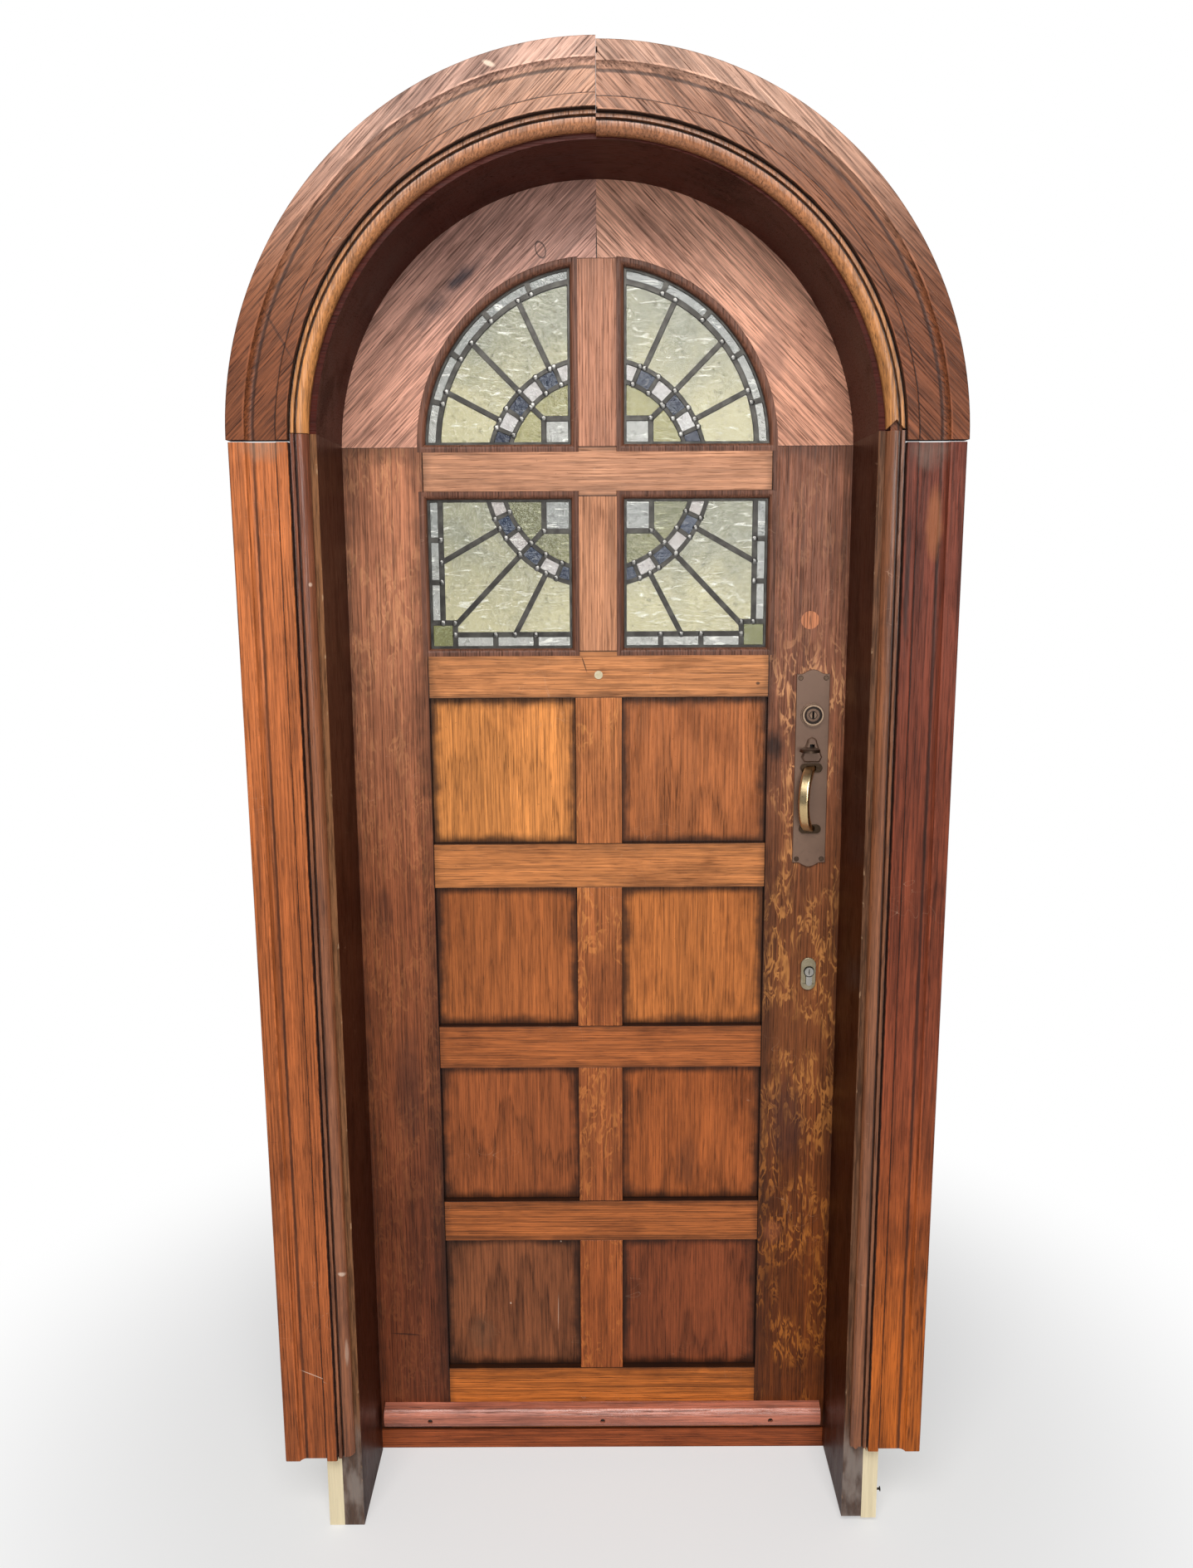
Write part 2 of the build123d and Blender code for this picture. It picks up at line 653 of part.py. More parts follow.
def centre_square(size, up, wide):
    """The leads round the square of glass at the middle."""
    x, z = size
    return [
        bar(x, BURST_Z, x, BURST_Z + up * (z + wide / 2), wide),
        bar(0, BURST_Z + up * z, x, BURST_Z + up * z, wide),
    ]


def corner_lead(angle, square, ring, wide):
    """The lead from the corner of the centre square to the ring, soldered well into both."""
    return spoke(angle, math.hypot(*square) - wide / 2, ring[0] + wide / 5, wide)


def crossings(start, up, ring, wide):
    """The short leads across the ring of coloured glass."""
    return [spoke(start + up * n * RING_STEP, *ring, wide) for n in range(5)]


def lower_leads(wide, ring_wide):
    """The leads of the right lower light, inside its edge came."""
    x_edge = STILE_IN + LIGHT_REBATE
    x_start = MUNTIN_HALF - LIGHT_REBATE
    z_edge = RAIL_Z[3] + RAIL - LIGHT_REBATE
    z_top = RAIL_Z[4] + LIGHT_REBATE
    x_border = x_edge - BORDER
    z_border = z_edge + BORDER + 2
    x_corner = x_border - 0.6 * BORDER
    z_corner = z_border + 0.6 * BORDER
    strips = [
        bar(x_border, z_corner, x_border, z_top, wide),
        bar(0, z_border, x_corner, z_border, wide),
        bar(x_corner, z_edge, x_corner, z_corner + wide / 2, wide),
        bar(x_corner - wide / 2, z_corner, x_edge, z_corner, wide),
    ]
    for share in SIDE_BORDER_TIES:
        z = z_edge + share * (z_top - z_edge)
        strips.append(bar(x_border, z, x_edge, z, wide))
    for share in FOOT_BORDER_TIES:
        x = x_start + share * (x_edge - x_start)
        strips.append(bar(x, z_edge, x, z_border, wide))
    field = rect(0, x_border, z_border, z_top) - rect(x_corner, FAR, 0, z_corner)
    for angle in LOWER_RAYS:
        strips.append(spoke(angle, LOWER_RING[1], FAR / 2, wide) & field)
    strips += centre_square(LOWER_SQUARE, -1, wide)
    strips.append(corner_lead(-46.3, LOWER_SQUARE, LOWER_RING, wide))
    strips += [hoop(radius, ring_wide) for radius in LOWER_RING]
    strips += crossings(LOWER_RING_START, -1, LOWER_RING, ring_wide)
    return joined(strips)


def upper_leads(wide, ring_wide):
    """The leads of the right upper light, inside its edge came."""
    r_edge = STILE_IN + LIGHT_REBATE
    r_border = r_edge - BORDER
    strips = [hoop(r_border, wide, HEAD_Z)]
    for angle in UPPER_BORDER_TIES:
        strips.append(spoke(angle, r_border, r_edge, wide, HEAD_Z))
    for angle in UPPER_RAYS:
        strips.append(spoke(angle, UPPER_RING[1], FAR / 2, wide) & disc(r_border, 0, HEAD_Z))
    strips += centre_square(UPPER_SQUARE, 1, wide)
    strips.append(corner_lead(43.6, UPPER_SQUARE, UPPER_RING, wide))
    strips += [hoop(radius, ring_wide) for radius in UPPER_RING]
    strips += crossings(UPPER_RING_START, 1, UPPER_RING, ring_wide)
    return joined(strips)


def leaded_net(light, leads):
    """Cames of an H section, soldered into one net: two flanges and a heart between."""
    outline = light(LIGHT_FIT)
    flange = outline - light(LIGHT_FIT + EDGE_CAME) + (leads(LEAD_WIDE, RING_LEAD_WIDE) & outline)
    heart = outline - light(LIGHT_FIT + CAME_HEART) + (leads(CAME_HEART, CAME_HEART) & outline)
    back = DOOR_FACE_Y + LIGHT_SEAT
    front = back - LIGHT_THICK
    net = through(flange, front, front + CAME_FLANGE)
    net += through(flange, back - CAME_FLANGE, back)
    net += through(heart, front + CAME_FLANGE, back - CAME_FLANGE)
    return net, outline - heart


def colour_of(x, z):
    """Which glass a piece is cut from, by where its middle lies."""
    upper = z > HEAD_Z - LIGHT_REBATE
    ring = UPPER_RING if upper else LOWER_RING
    square = UPPER_SQUARE if upper else LOWER_SQUARE
    reach = math.hypot(x, z - BURST_Z)
    angle = abs(math.degrees(math.atan2(z - BURST_Z, x)))
    if ring[0] < reach < ring[1]:
        start = UPPER_RING_START if upper else -LOWER_RING_START
        step = int((angle - start) // RING_STEP + 1)
        if upper:
            return "white_glass" if step % 2 else "blue_glass"
        return "white_glass" if step in (0, 2, 4) else "blue_glass"
    if x < square[0] and abs(z - BURST_Z) < square[1]:
        return "border_glass"
    x_border = STILE_IN + LIGHT_REBATE - BORDER
    if upper:
        return "border_glass" if math.hypot(x, z - HEAD_Z) > x_border else "field_glass"
    z_border = RAIL_Z[3] + RAIL - LIGHT_REBATE + BORDER + 2
    corner = x > x_border - 0.6 * BORDER and z < z_border + 0.6 * BORDER
    if (x > x_border or z < z_border) and not corner:
        return "border_glass"
    return "field_glass"


def make_lights():
    glass = {"field_glass": [], "border_glass": [], "blue_glass": [], "white_glass": []}
    back = DOOR_FACE_Y + LIGHT_SEAT
    y1 = back - LIGHT_THICK + CAME_FLANGE
    y2 = back - CAME_FLANGE
    for name, light, leads in (
        ("lower_light_leads", lower_light, lower_leads),
        ("upper_light_leads", upper_light, upper_leads),
    ):
        net, gaps = leaded_net(light, leads)
        write(name, both(net))
        for face in gaps.faces():
            middle = face.center()
            pane = through(offset(Sketch() + face, -PANE_FIT), y1, y2)
            glass[colour_of(middle.X, middle.Y)] += both(pane)
    for name, panes in glass.items():
        write(name, panes)


def make_beads():
    """Mitred beads that hold the leaded lights in from outside."""
    y1 = DOOR_FACE_Y + BEAD_SET_BACK
    y2 = DOOR_FACE_Y + LIGHT_SEAT - LIGHT_THICK
    for name, light in (("lower_light_beads", lower_light), ("upper_light_beads", upper_light)):
        ring = through(light(0) - light(BEAD_WIDE), y1, y2)
        inner = through(light(BEAD_WIDE), y1, y2)
        edges = [edge for edge in ring.edges() if is_bead_edge(edge, inner, y1)]
        ring = fillet(edges, BEAD_ROUND)
        write(name, both(ring))


def is_bead_edge(edge, inner, y):
    """Whether an edge is one of the front inner edges of the bead."""
    if abs(edge.center().Y - y) > 0.01 or abs(edge.bounding_box().size.Y) > 0.01:
        return False
    middle = edge @ 0.5
    for other in inner.edges():
        near = other.distance_to(Vertex(middle.X, middle.Y, middle.Z)) < 0.01
        if abs(other.center().Y - y) < 0.01 and near:
            return True
    return False


# Hinges

def frame_flap_seat(z):
    """Where the frame's flap of a hinge is let into the left jamb."""
    x1 = -(REBATE_HALF + FLAP_THICK - FLAP_PROUD)
    return block(x1, -REBATE_HALF, FRAME_DEPTH - FLAP_DEEP, FRAME_DEPTH, z, z + HINGE_LONG)


def door_flap_seat(z):
    x2 = -(LEAF_HALF - FLAP_THICK + FLAP_PROUD)
    return block(-LEAF_HALF, x2, FRAME_DEPTH - FLAP_DEEP, DOOR_BACK_Y, z, z + HINGE_LONG)


def knuckle_spans(z):
    """The five knuckles of a hinge, from the bottom up, with a little play between."""
    step = HINGE_LONG / 5
    play = 0.15
    return [(z + n * step + play, z + (n + 1) * step - play) for n in range(5)]


def barrel(z1, z2, radius):
    return straight(Pos(PIVOT_X, PIVOT_Y) * Circle(radius), z1, z2)


def frame_hinge(z):
    """The flap on the jamb with three knuckles and the pin."""
    x1 = -(REBATE_HALF + FLAP_THICK - FLAP_PROUD)
    x2 = x1 + FLAP_THICK
    spans = knuckle_spans(z)
    leaf = block(x1, x2, FRAME_DEPTH - FLAP_DEEP, FRAME_DEPTH, z, z + HINGE_LONG)
    for z1, z2 in spans[::2]:
        leaf += block(x1, x2, FRAME_DEPTH, PIVOT_Y - 1, z1, z2)
        leaf += barrel(z1, z2, KNUCKLE_R)
    leaf += barrel(z - 3, z + HINGE_LONG + 3, PIN_R)
    return leaf


def door_hinge(z):
    """The flap on the leaf with two knuckles bored for the pin."""
    x2 = -(LEAF_HALF - FLAP_THICK + FLAP_PROUD)
    x1 = x2 - FLAP_THICK
    leaf = block(x1, x2, FRAME_DEPTH - FLAP_DEEP, DOOR_BACK_Y, z, z + HINGE_LONG)
    for z1, z2 in knuckle_spans(z)[1::2]:
        leaf += block(x1, x2, DOOR_BACK_Y, PIVOT_Y - 1, z1, z2)
        leaf += barrel(z1, z2, KNUCKLE_R)
    return leaf - barrel(z - 5, z + HINGE_LONG + 5, PIN_R + PIN_FIT)


def make_hinges():
    write("hinge_frame_flaps", [frame_hinge(z) for z in HINGE_Z])
    write("hinge_door_flaps", [door_hinge(z) for z in HINGE_Z])


# Locks

def lock_case(span, grow):
    """The outline of a lock case with its forend, for the case and for its mortice."""
    x1 = LEAF_HALF - CASE_DEEP
    half = CASE_THICK / 2 + grow
    wide = FOREND_WIDE / 2
    case = block(x1 - grow, LEAF_HALF, CASE_Y - half, CASE_Y + half, span[0] - grow, span[1] + grow)
    low = span[0] - FOREND_PAST
    high = span[1] + FOREND_PAST
    return case + block(LEAF_HALF - FOREND, LEAF_HALF, CASE_Y - wide, CASE_Y + wide, low, high)


def lock_mortice(span):
    return lock_case(span, CASE_FIT)


def bolt_way(z_span, long, throw):
    """The channel that a bolt slides in, out through the forend."""
    half = BOLT_THICK / 2 + BOLT_FIT
    x1 = LEAF_HALF - long - BOLT_FIT
    return block(x1, LEAF_HALF + throw, CASE_Y - half, CASE_Y + half, z_span[0] - BOLT_FIT, z_span[1] + BOLT_FIT)


def make_locks():
    upper = lock_case(UPPER_CASE, 0) - bolt_way(LATCH_Z, LATCH_LONG, 1)
    upper -= thumb_slot(CASE_Y - CASE_THICK, CASE_Y + CASE_THICK)
    lower = lock_case(LOWER_CASE, 0) - bolt_way(DEAD_Z, DEAD_LONG, 1)
    lower -= through(euro_outline(CASE_FIT), CASE_Y - CASE_THICK, CASE_Y + CASE_THICK)
    write("lock_cases", [upper, lower])
    half = BOLT_THICK / 2
    tip = LEAF_HALF + LATCH_THROW
    latch = block(tip - LATCH_LONG, tip, CASE_Y - half, CASE_Y + half, *LATCH_Z)
    bevel = Plane.XY.offset(LATCH_Z[0] - 1) * make_face(Polyline(
        (tip + 1, CASE_Y - half - 1),
        (tip - LATCH_THROW, CASE_Y - half - 1),
        (tip - LATCH_THROW, CASE_Y - half),
        (tip, CASE_Y + half - 2),
        (tip + 1, CASE_Y + half - 2),
        close=True,
    ))
    latch -= extrude(bevel, amount=LATCH_Z[1] - LATCH_Z[0] + 2)
    write("latch_bolt", latch)
    write("deadbolt", block(LEAF_HALF - DEAD_LONG, LEAF_HALF, CASE_Y - half, CASE_Y + half, *DEAD_Z))


# Handle plate, thumb latch and pull

def plate_outline():
    """A tall plate with an ogee crown at each end."""
    half = PLATE_WIDE / 2
    shoulder = half * 0.72
    flank = half * 0.44
    rise = PLATE_CROWN * 0.42

    def end(z, up):
        right = (PLATE_X + shoulder, z)
        mid_right = (PLATE_X + flank, z + up * rise)
        crown = (PLATE_X, z + up * PLATE_CROWN)
        mid_left = (PLATE_X - flank, z + up * rise)
        left = (PLATE_X - shoulder, z)
        return Spline(right, mid_right, crown, mid_left, left, tangents=[(-1, 0), (-1, 0)])

    top = end(PLATE_TOP, 1)
    bottom = end(PLATE_BOTTOM, -1)
    right = Polyline(
        (PLATE_X + shoulder, PLATE_BOTTOM),
        (PLATE_X + half, PLATE_BOTTOM),
        (PLATE_X + half, PLATE_TOP),
        (PLATE_X + shoulder, PLATE_TOP),
    )
    left = Polyline(
        (PLATE_X - shoulder, PLATE_TOP),
        (PLATE_X - half, PLATE_TOP),
        (PLATE_X - half, PLATE_BOTTOM),
        (PLATE_X - shoulder, PLATE_BOTTOM),
    )
    return make_face(Curve() + [top, bottom, right, left])


def thumb_slot(y1, y2, rise=20.0):
    """The upright slot that the thumbpiece swings in."""
    half = THUMB_STEM / 2 + THUMB_SLOT_CLEAR
    return block(PLATE_X - half, PLATE_X + half, y1, y2, THUMB_Z - 6, THUMB_Z + rise)


def thumb_pin(radius, half):
    """The pin that the thumbpiece turns on, across its slot."""
    return Pos(PLATE_X, THUMB_PIN_Y, THUMB_Z) * Rot(0, 90, 0) * Cylinder(radius, 2 * half)


def boss_outline():
    """The bell-shaped shield round the thumbpiece."""
    half = BOSS_WIDE / 2
    low = BOSS_BOTTOM
    crown = ThreePointArc(
        (PLATE_X + 8, BOSS_TOP - 8), (PLATE_X, BOSS_TOP), (PLATE_X - 8, BOSS_TOP - 8)
    )
    sides = Polyline(
        (PLATE_X - 8, BOSS_TOP - 8),
        (PLATE_X - half, low + 8),
        (PLATE_X - half + 5, low),
        (PLATE_X + half - 5, low),
        (PLATE_X + half, low + 8),
        (PLATE_X + 8, BOSS_TOP - 8),
    )
    return make_face(Curve() + [crown, sides])


def make_handle_plate():
    face = DOOR_FACE_Y - PLATE_THICK
    plate = through(plate_outline(), face, DOOR_FACE_Y)
    plate = chamfer(plate.faces().sort_by(Axis.Y)[0].edges(), 0.8)
    boss = through(boss_outline(), face - BOSS_PROUD, face)
    boss = chamfer(boss.faces().sort_by(Axis.Y)[0].edges(), 2.5)
    plate += boss
    plate -= rod(CYL_R + CYL_FIT, PLATE_X, CYL_Z, face - 1, DOOR_FACE_Y + 1)
    plate -= thumb_slot(face - BOSS_PROUD - 1, DOOR_FACE_Y + 1, 7.0)
    plate -= thumb_pin(THUMB_PIN_R + PIN_FIT, THUMB_PIN_HALF + PIN_FIT)
    for x, z in plate_screws():
        plate -= rod(SCREW_R + HOLE_FIT, x, z, face - 1, DOOR_FACE_Y + 1)
    write("handle_plate", plate)


def make_grip():
    """A bowed round-edged pull that leans to the hinge side, on an oval foot at each end."""
    face = DOOR_FACE_Y - PLATE_THICK
    half = GRIP_TALL / 2
    middle = GRIP_BOTTOM + half
    inset = GRIP_FOOT[1] / 2
    lean = math.hypot(GRIP_PROUD, GRIP_ASIDE)
    t = GRIP_THICK
    tip = half - inset + t / 2
    outer = Spline((-3, -tip), (0.62 * lean, -0.72 * half), (lean, 0), (0.62 * lean, 0.72 * half), (-3, tip))
    inner = Spline(
        (-3, -tip + t), (0.62 * lean - 0.75 * t, -0.72 * half + 0.75 * t), (lean - t, 0),
        (0.62 * lean - 0.75 * t, 0.72 * half - 0.75 * t), (-3, tip - t),
    )
    ends = [Line((-3, -tip), (-3, -tip + t)), Line((-3, tip), (-3, tip - t))]
    out = (-GRIP_ASIDE, -GRIP_PROUD, 0)
    side = Plane(origin=(PLATE_X, face, middle), x_dir=out, z_dir=(-GRIP_PROUD, GRIP_ASIDE, 0))
    bow = extrude(side * make_face(Curve() + [outer, inner] + ends), amount=GRIP_WIDE / 2, both=True)
    long_edges = [edge for edge in bow.edges() if edge.length > half]
    bow = fillet(long_edges, GRIP_ROUND)
    bow &= block(-FAR, FAR, -FAR, face, 0, FAR)
    for z in (GRIP_BOTTOM + inset, GRIP_TOP - inset):
        foot = Pos(PLATE_X, z) * SlotOverall(*GRIP_FOOT)
        bow += through(foot, face - GRIP_FOOT_THICK, face)
    write("pull_grip", bow)


def make_thumbpiece():
    """One cranked lever: a spoon outside, a stem through the stile and a curled tail inside."""
    front = DOOR_FACE_Y - PLATE_THICK - BOSS_PROUD
    tail = DOOR_BACK_Y + INSIDE_PLATE + THUMB_TAIL
    t = THUMB_THICK
    z = THUMB_Z
    top = Polyline(
        (front - 6, z + t / 2), (tail - 8, z + t / 2), (tail, z + t / 2 - 5), (tail, z - t / 2 - 6),
        (tail - 3, z - t / 2 - 6), (tail - 9, z - t / 2), (front - 6, z - t / 2), close=True,
    )
    x1 = PLATE_X - THUMB_STEM / 2
    stem = extrude(Plane.YZ.offset(x1) * make_face(top), amount=THUMB_STEM)
    pad_y = front - THUMB_REACH / 2 - 2
    pad_x = PLATE_X - THUMB_ASIDE
    spoon = Plane.XY.offset(z - t / 2) * Pos(pad_x, pad_y) * Ellipse(THUMB_PAD / 2, THUMB_REACH / 2)
    pad = extrude(spoon, amount=t)
    pad = chamfer(pad.faces().sort_by(Axis.Z)[-1].edges(), 1.5)
    write("thumbpiece", stem + pad + thumb_pin(THUMB_PIN_R, THUMB_PIN_HALF))


def keyway(x, z, y, radius):
    """The wavy slot for the key, taken as an upright slit."""
    return block(x - KEYWAY / 2, x + KEYWAY / 2, y - 1, y + 14, z - radius * 0.75, z + radius * 0.75)


def make_rim_cylinder():
    face = DOOR_FACE_Y - PLATE_THICK
    front = face - CYL_PROUD
    seat = CASE_Y - CASE_THICK / 2
    body = rod(CYL_R, PLATE_X, CYL_Z, front + 2, seat)
    ring = rod(CYL_RING_R + 2, PLATE_X, CYL_Z, face - 3, face)
    ring += rod(CYL_RING_R, PLATE_X, CYL_Z, front, face)
    body += ring - rod(CYL_R - 2, PLATE_X, CYL_Z, front - 1, front + 2)
    body -= rod(PLUG_R + PLUG_FIT, PLATE_X, CYL_Z, front - 1, seat - 3)
    plug = rod(PLUG_R, PLATE_X, CYL_Z, front + 1, seat - 3)
    plug -= keyway(PLATE_X, CYL_Z, front + 1, PLUG_R)
    write("rim_cylinder", body)
    write("rim_cylinder_plug", plug)


def euro_outline(grow):
    """The profile of a euro cylinder: a round head over a leg."""
    foot = EURO_Z + EURO_HEAD_R - EURO_TALL
    half = EURO_LEG / 2 + grow
    leg = rect(EURO_X - half, EURO_X + half, foot + half - grow, EURO_Z)
    return disc(EURO_HEAD_R + grow, EURO_X, EURO_Z) + leg + disc(half, EURO_X, foot + half - grow)


def stadium(wide, tall, x, z):
    return Pos(x, z) * Rot(0, 0, 90) * SlotOverall(tall, wide)


def make_euro_lock():
    front = DOOR_FACE_Y - EURO_PROUD
    back = DOOR_BACK_Y + EURO_PROUD
    body = through(euro_outline(0), front, back)
    body -= rod(PLUG_R + PLUG_FIT, EURO_X, EURO_Z, front - 1, back + 1)
    plug = rod(PLUG_R, EURO_X, EURO_Z, front, back)
    plug -= keyway(EURO_X, EURO_Z, front, PLUG_R)
    write("euro_cylinder", body)
    write("euro_plug", plug)
    roses = []
    for y1 in (DOOR_FACE_Y - ESC_THICK, DOOR_BACK_Y):
        rose = through(stadium(ESC_WIDE, ESC_TALL, EURO_X - 1, ESC_Z), y1, y1 + ESC_THICK)
        rose -= through(euro_outline(CASE_FIT), y1 - 1, y1 + ESC_THICK + 1)
        roses.append(rose)
    write("euro_escutcheons", roses)


def make_inside_plate():
    outline = rect(PLATE_X - 22, PLATE_X + 22, UPPER_CASE[0], UPPER_CASE[1])
    outline = fillet(outline.vertices(), 6)
    plate = through(outline, DOOR_BACK_Y, DOOR_BACK_Y + INSIDE_PLATE)
    plate -= thumb_slot(DOOR_BACK_Y - 1, DOOR_BACK_Y + INSIDE_PLATE + 1)
    write("inside_latch_plate", plate)


# Weather bar, viewer, plug and screws

def make_weather_bar():
    """A drip moulding across the foot of the leaf."""
    y0 = DOOR_FACE_Y
    nose = ThreePointArc(
        (y0 - 14, BAR_TOP - 5), (y0 - BAR_PROUD, BAR_TOP - 17), (y0 - 17, BAR_BOTTOM + 3)
    )
    rest = Polyline(
        (y0 - 17, BAR_BOTTOM + 3), (y0 - 15, BAR_BOTTOM), (y0, BAR_BOTTOM), (y0, BAR_TOP),
        (y0 - 14, BAR_TOP - 5),
    )
    section = Plane.YZ.offset(-BAR_HALF) * make_face(Curve() + [nose, rest])
    drip = extrude(section, amount=2 * BAR_HALF)
    for x in BAR_SCREW_X:
        drip -= rod(SCREW_R + HOLE_FIT, x, BAR_SCREW_Z, y0 - 30, y0 + 1)
        drip -= rod(SCREW_HEAD_R + 0.5, x, BAR_SCREW_Z, y0 - 30, y0 - 16)
    write("weather_bar", drip)


def screw(x, z, y_face):
    """A round-headed screw whose head bears at y_face."""
    shank = rod(SCREW_R, x, z, y_face - SCREW_HEAD / 2, y_face + SCREW_LONG)
    head = rod(SCREW_HEAD_R, x, z, y_face - SCREW_HEAD, y_face)
    head = chamfer(head.faces().sort_by(Axis.Y)[0].edges(), 0.7)
    return shank + head


def make_small_pieces():
    face = DOOR_FACE_Y - PLATE_THICK
    write("plate_screws", [screw(x, z, face) for x, z in plate_screws()])
    write("weather_bar_screws", [screw(x, BAR_SCREW_Z, DOOR_FACE_Y - 16) for x in BAR_SCREW_X])
    viewer = rod(VIEWER_R, 0, VIEWER_Z, DOOR_FACE_Y - 1, DOOR_BACK_Y + 1)
    viewer += rod(VIEWER_RIM, 0, VIEWER_Z, DOOR_FACE_Y - 1.5, DOOR_FACE_Y)
    viewer += rod(VIEWER_RIM + 2, 0, VIEWER_Z, DOOR_BACK_Y, DOOR_BACK_Y + 2)
    write("door_viewer", viewer)
    y1 = DOOR_FACE_Y + 0.3
    write("wood_plug", rod(WOOD_PLUG_R - HOLE_FIT / 2, *WOOD_PLUG, y1, DOOR_FACE_Y + WOOD_PLUG_DEEP))


def main():
    os.makedirs("parts", exist_ok=True)
    make_jambs()
    make_keeps()
    make_threshold()
    make_packing()
    make_architraves()
    make_coves()
    cuts = light_cuts() + groove_cuts()
    make_stiles(cuts)
    make_rails(cuts)
    make_heads(cuts)
    make_muntins(cuts)
    make_panels()
    make_lights()
    make_beads()
    make_hinges()
    make_locks()
    make_handle_plate()
    make_grip()
    make_thumbpiece()
    make_rim_cylinder()
    make_euro_lock()
    make_inside_plate()
    make_weather_bar()
    make_small_pieces()


main()
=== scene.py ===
import bpy
import math
import random
from mathutils import Matrix, Vector


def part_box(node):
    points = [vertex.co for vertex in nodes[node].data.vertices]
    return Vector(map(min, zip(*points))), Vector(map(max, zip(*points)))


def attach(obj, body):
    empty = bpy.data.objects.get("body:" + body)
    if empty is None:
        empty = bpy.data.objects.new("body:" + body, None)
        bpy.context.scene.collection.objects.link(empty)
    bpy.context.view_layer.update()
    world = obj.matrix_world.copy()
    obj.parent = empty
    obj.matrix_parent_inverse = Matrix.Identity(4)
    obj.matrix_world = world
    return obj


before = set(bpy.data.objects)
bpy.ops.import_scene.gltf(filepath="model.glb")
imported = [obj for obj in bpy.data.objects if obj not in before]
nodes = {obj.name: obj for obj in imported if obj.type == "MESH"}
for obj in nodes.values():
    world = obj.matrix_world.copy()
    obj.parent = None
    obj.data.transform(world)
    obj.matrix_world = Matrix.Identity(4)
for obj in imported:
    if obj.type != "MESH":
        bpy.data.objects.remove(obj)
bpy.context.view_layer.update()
bpy.context.scene.view_settings.view_transform = "Standard"
bpy.ops.object.select_all(action="DESELECT")

FOOT_Y = 0.20175              # the wall face lies this far in front of the origin
BURST_Z = 1.731               # centre of the sunburst in the leaded lights
HEAD_Z = 1.768                # centre of the inner arc of the leaf
SPRING_Z = 1.758              # centre of the jamb's arch
EYE = (-0.7, -1787.3, 1587.1) # the photographer's eye, in millimetres from the wall face
EYE_TURN = (-0.0018, -0.1791, -0.0053)    # to the left, down and over, in radians
FOCAL_PIXELS = 1463.27        # focal length in pixels of the photograph, which is 1437 wide


def at(x, y, z):
    """A place given in millimetres from the wall face, in the scene's metres."""
    return (x / 1000.0, y / 1000.0 - FOOT_Y, z / 1000.0)


# Camera, light and floor

def make_camera():
    """The photographer stood about two metres off, a little above the handle, looking down."""
    yaw, pitch, roll = EYE_TURN
    level = math.cos(pitch)
    ahead = Vector((math.sin(yaw) * level, math.cos(yaw) * level, math.sin(pitch)))
    right = Vector((math.cos(yaw), -math.sin(yaw), 0.0))
    up = right.cross(ahead)
    side = right * math.cos(roll) + up * math.sin(roll)
    top = up * math.cos(roll) - right * math.sin(roll)
    data = bpy.data.cameras.new("camera")
    data.sensor_fit = "HORIZONTAL"
    data.sensor_width = 36.0
    data.lens = data.sensor_width * FOCAL_PIXELS / 1437.0
    camera = bpy.data.objects.new("camera", data)
    bpy.context.scene.collection.objects.link(camera)
    turn = Matrix((side, top, -ahead)).transposed()
    camera.matrix_world = Matrix.Translation(at(*EYE)) @ turn.to_4x4()
    bpy.context.scene.camera = camera


def aim(lamp, target):
    way = Vector(target) - lamp.location
    lamp.rotation_euler = way.to_track_quat("-Z", "Y").to_euler()


def softbox(name, place, target, wide, tall, watts, tint):
    data = bpy.data.lights.new(name, "AREA")
    data.shape = "RECTANGLE"
    data.size = wide
    data.size_y = tall
    data.energy = watts
    data.color = tint
    lamp = bpy.data.objects.new(name, data)
    bpy.context.scene.collection.objects.link(lamp)
    lamp.location = place
    aim(lamp, target)


def make_light():
    """One broad light above and in front of the door and a weaker one from the photographer's side."""
    softbox("ceiling", (-0.25, -3.0, 3.75), (0.0, 0.0, 1.45), 2.6, 1.5, 128.0, (1.0, 0.985, 0.965))
    softbox("front", (0.5, -4.9, 2.0), (0.0, 0.0, 1.1), 1.8, 1.8, 66.0, (1.0, 0.99, 0.98))


def seen_white(tree):
    """One for rays from the camera and rays through the glass, nought for light on the object."""
    path = tree.nodes.new("ShaderNodeLightPath")
    return calc(tree, "MAXIMUM", path.outputs["Is Camera Ray"], path.outputs["Is Transmission Ray"])


def mix_shaders(tree, share, first, second, out):
    mix = tree.nodes.new("ShaderNodeMixShader")
    tree.links.new(share, mix.inputs["Fac"])
    tree.links.new(first.outputs[0], mix.inputs[1])
    tree.links.new(second.outputs[0], mix.inputs[2])
    tree.links.new(mix.outputs[0], out.inputs["Surface"])


def make_world():
    """Soft grey light all round; the camera and what shines through the glass see plain white."""
    world = bpy.data.worlds.new("studio")
    bpy.context.scene.world = world
    world.use_nodes = True
    tree = world.node_tree
    tree.nodes.clear()
    soft = tree.nodes.new("ShaderNodeBackground")
    soft.inputs["Color"].default_value = (0.93, 0.95, 1.0, 1.0)
    soft.inputs["Strength"].default_value = 0.17
    white = tree.nodes.new("ShaderNodeBackground")
    white.inputs["Color"].default_value = (1.0, 1.0, 1.0, 1.0)
    mix_shaders(tree, seen_white(tree), soft, white, tree.nodes.new("ShaderNodeOutputWorld"))


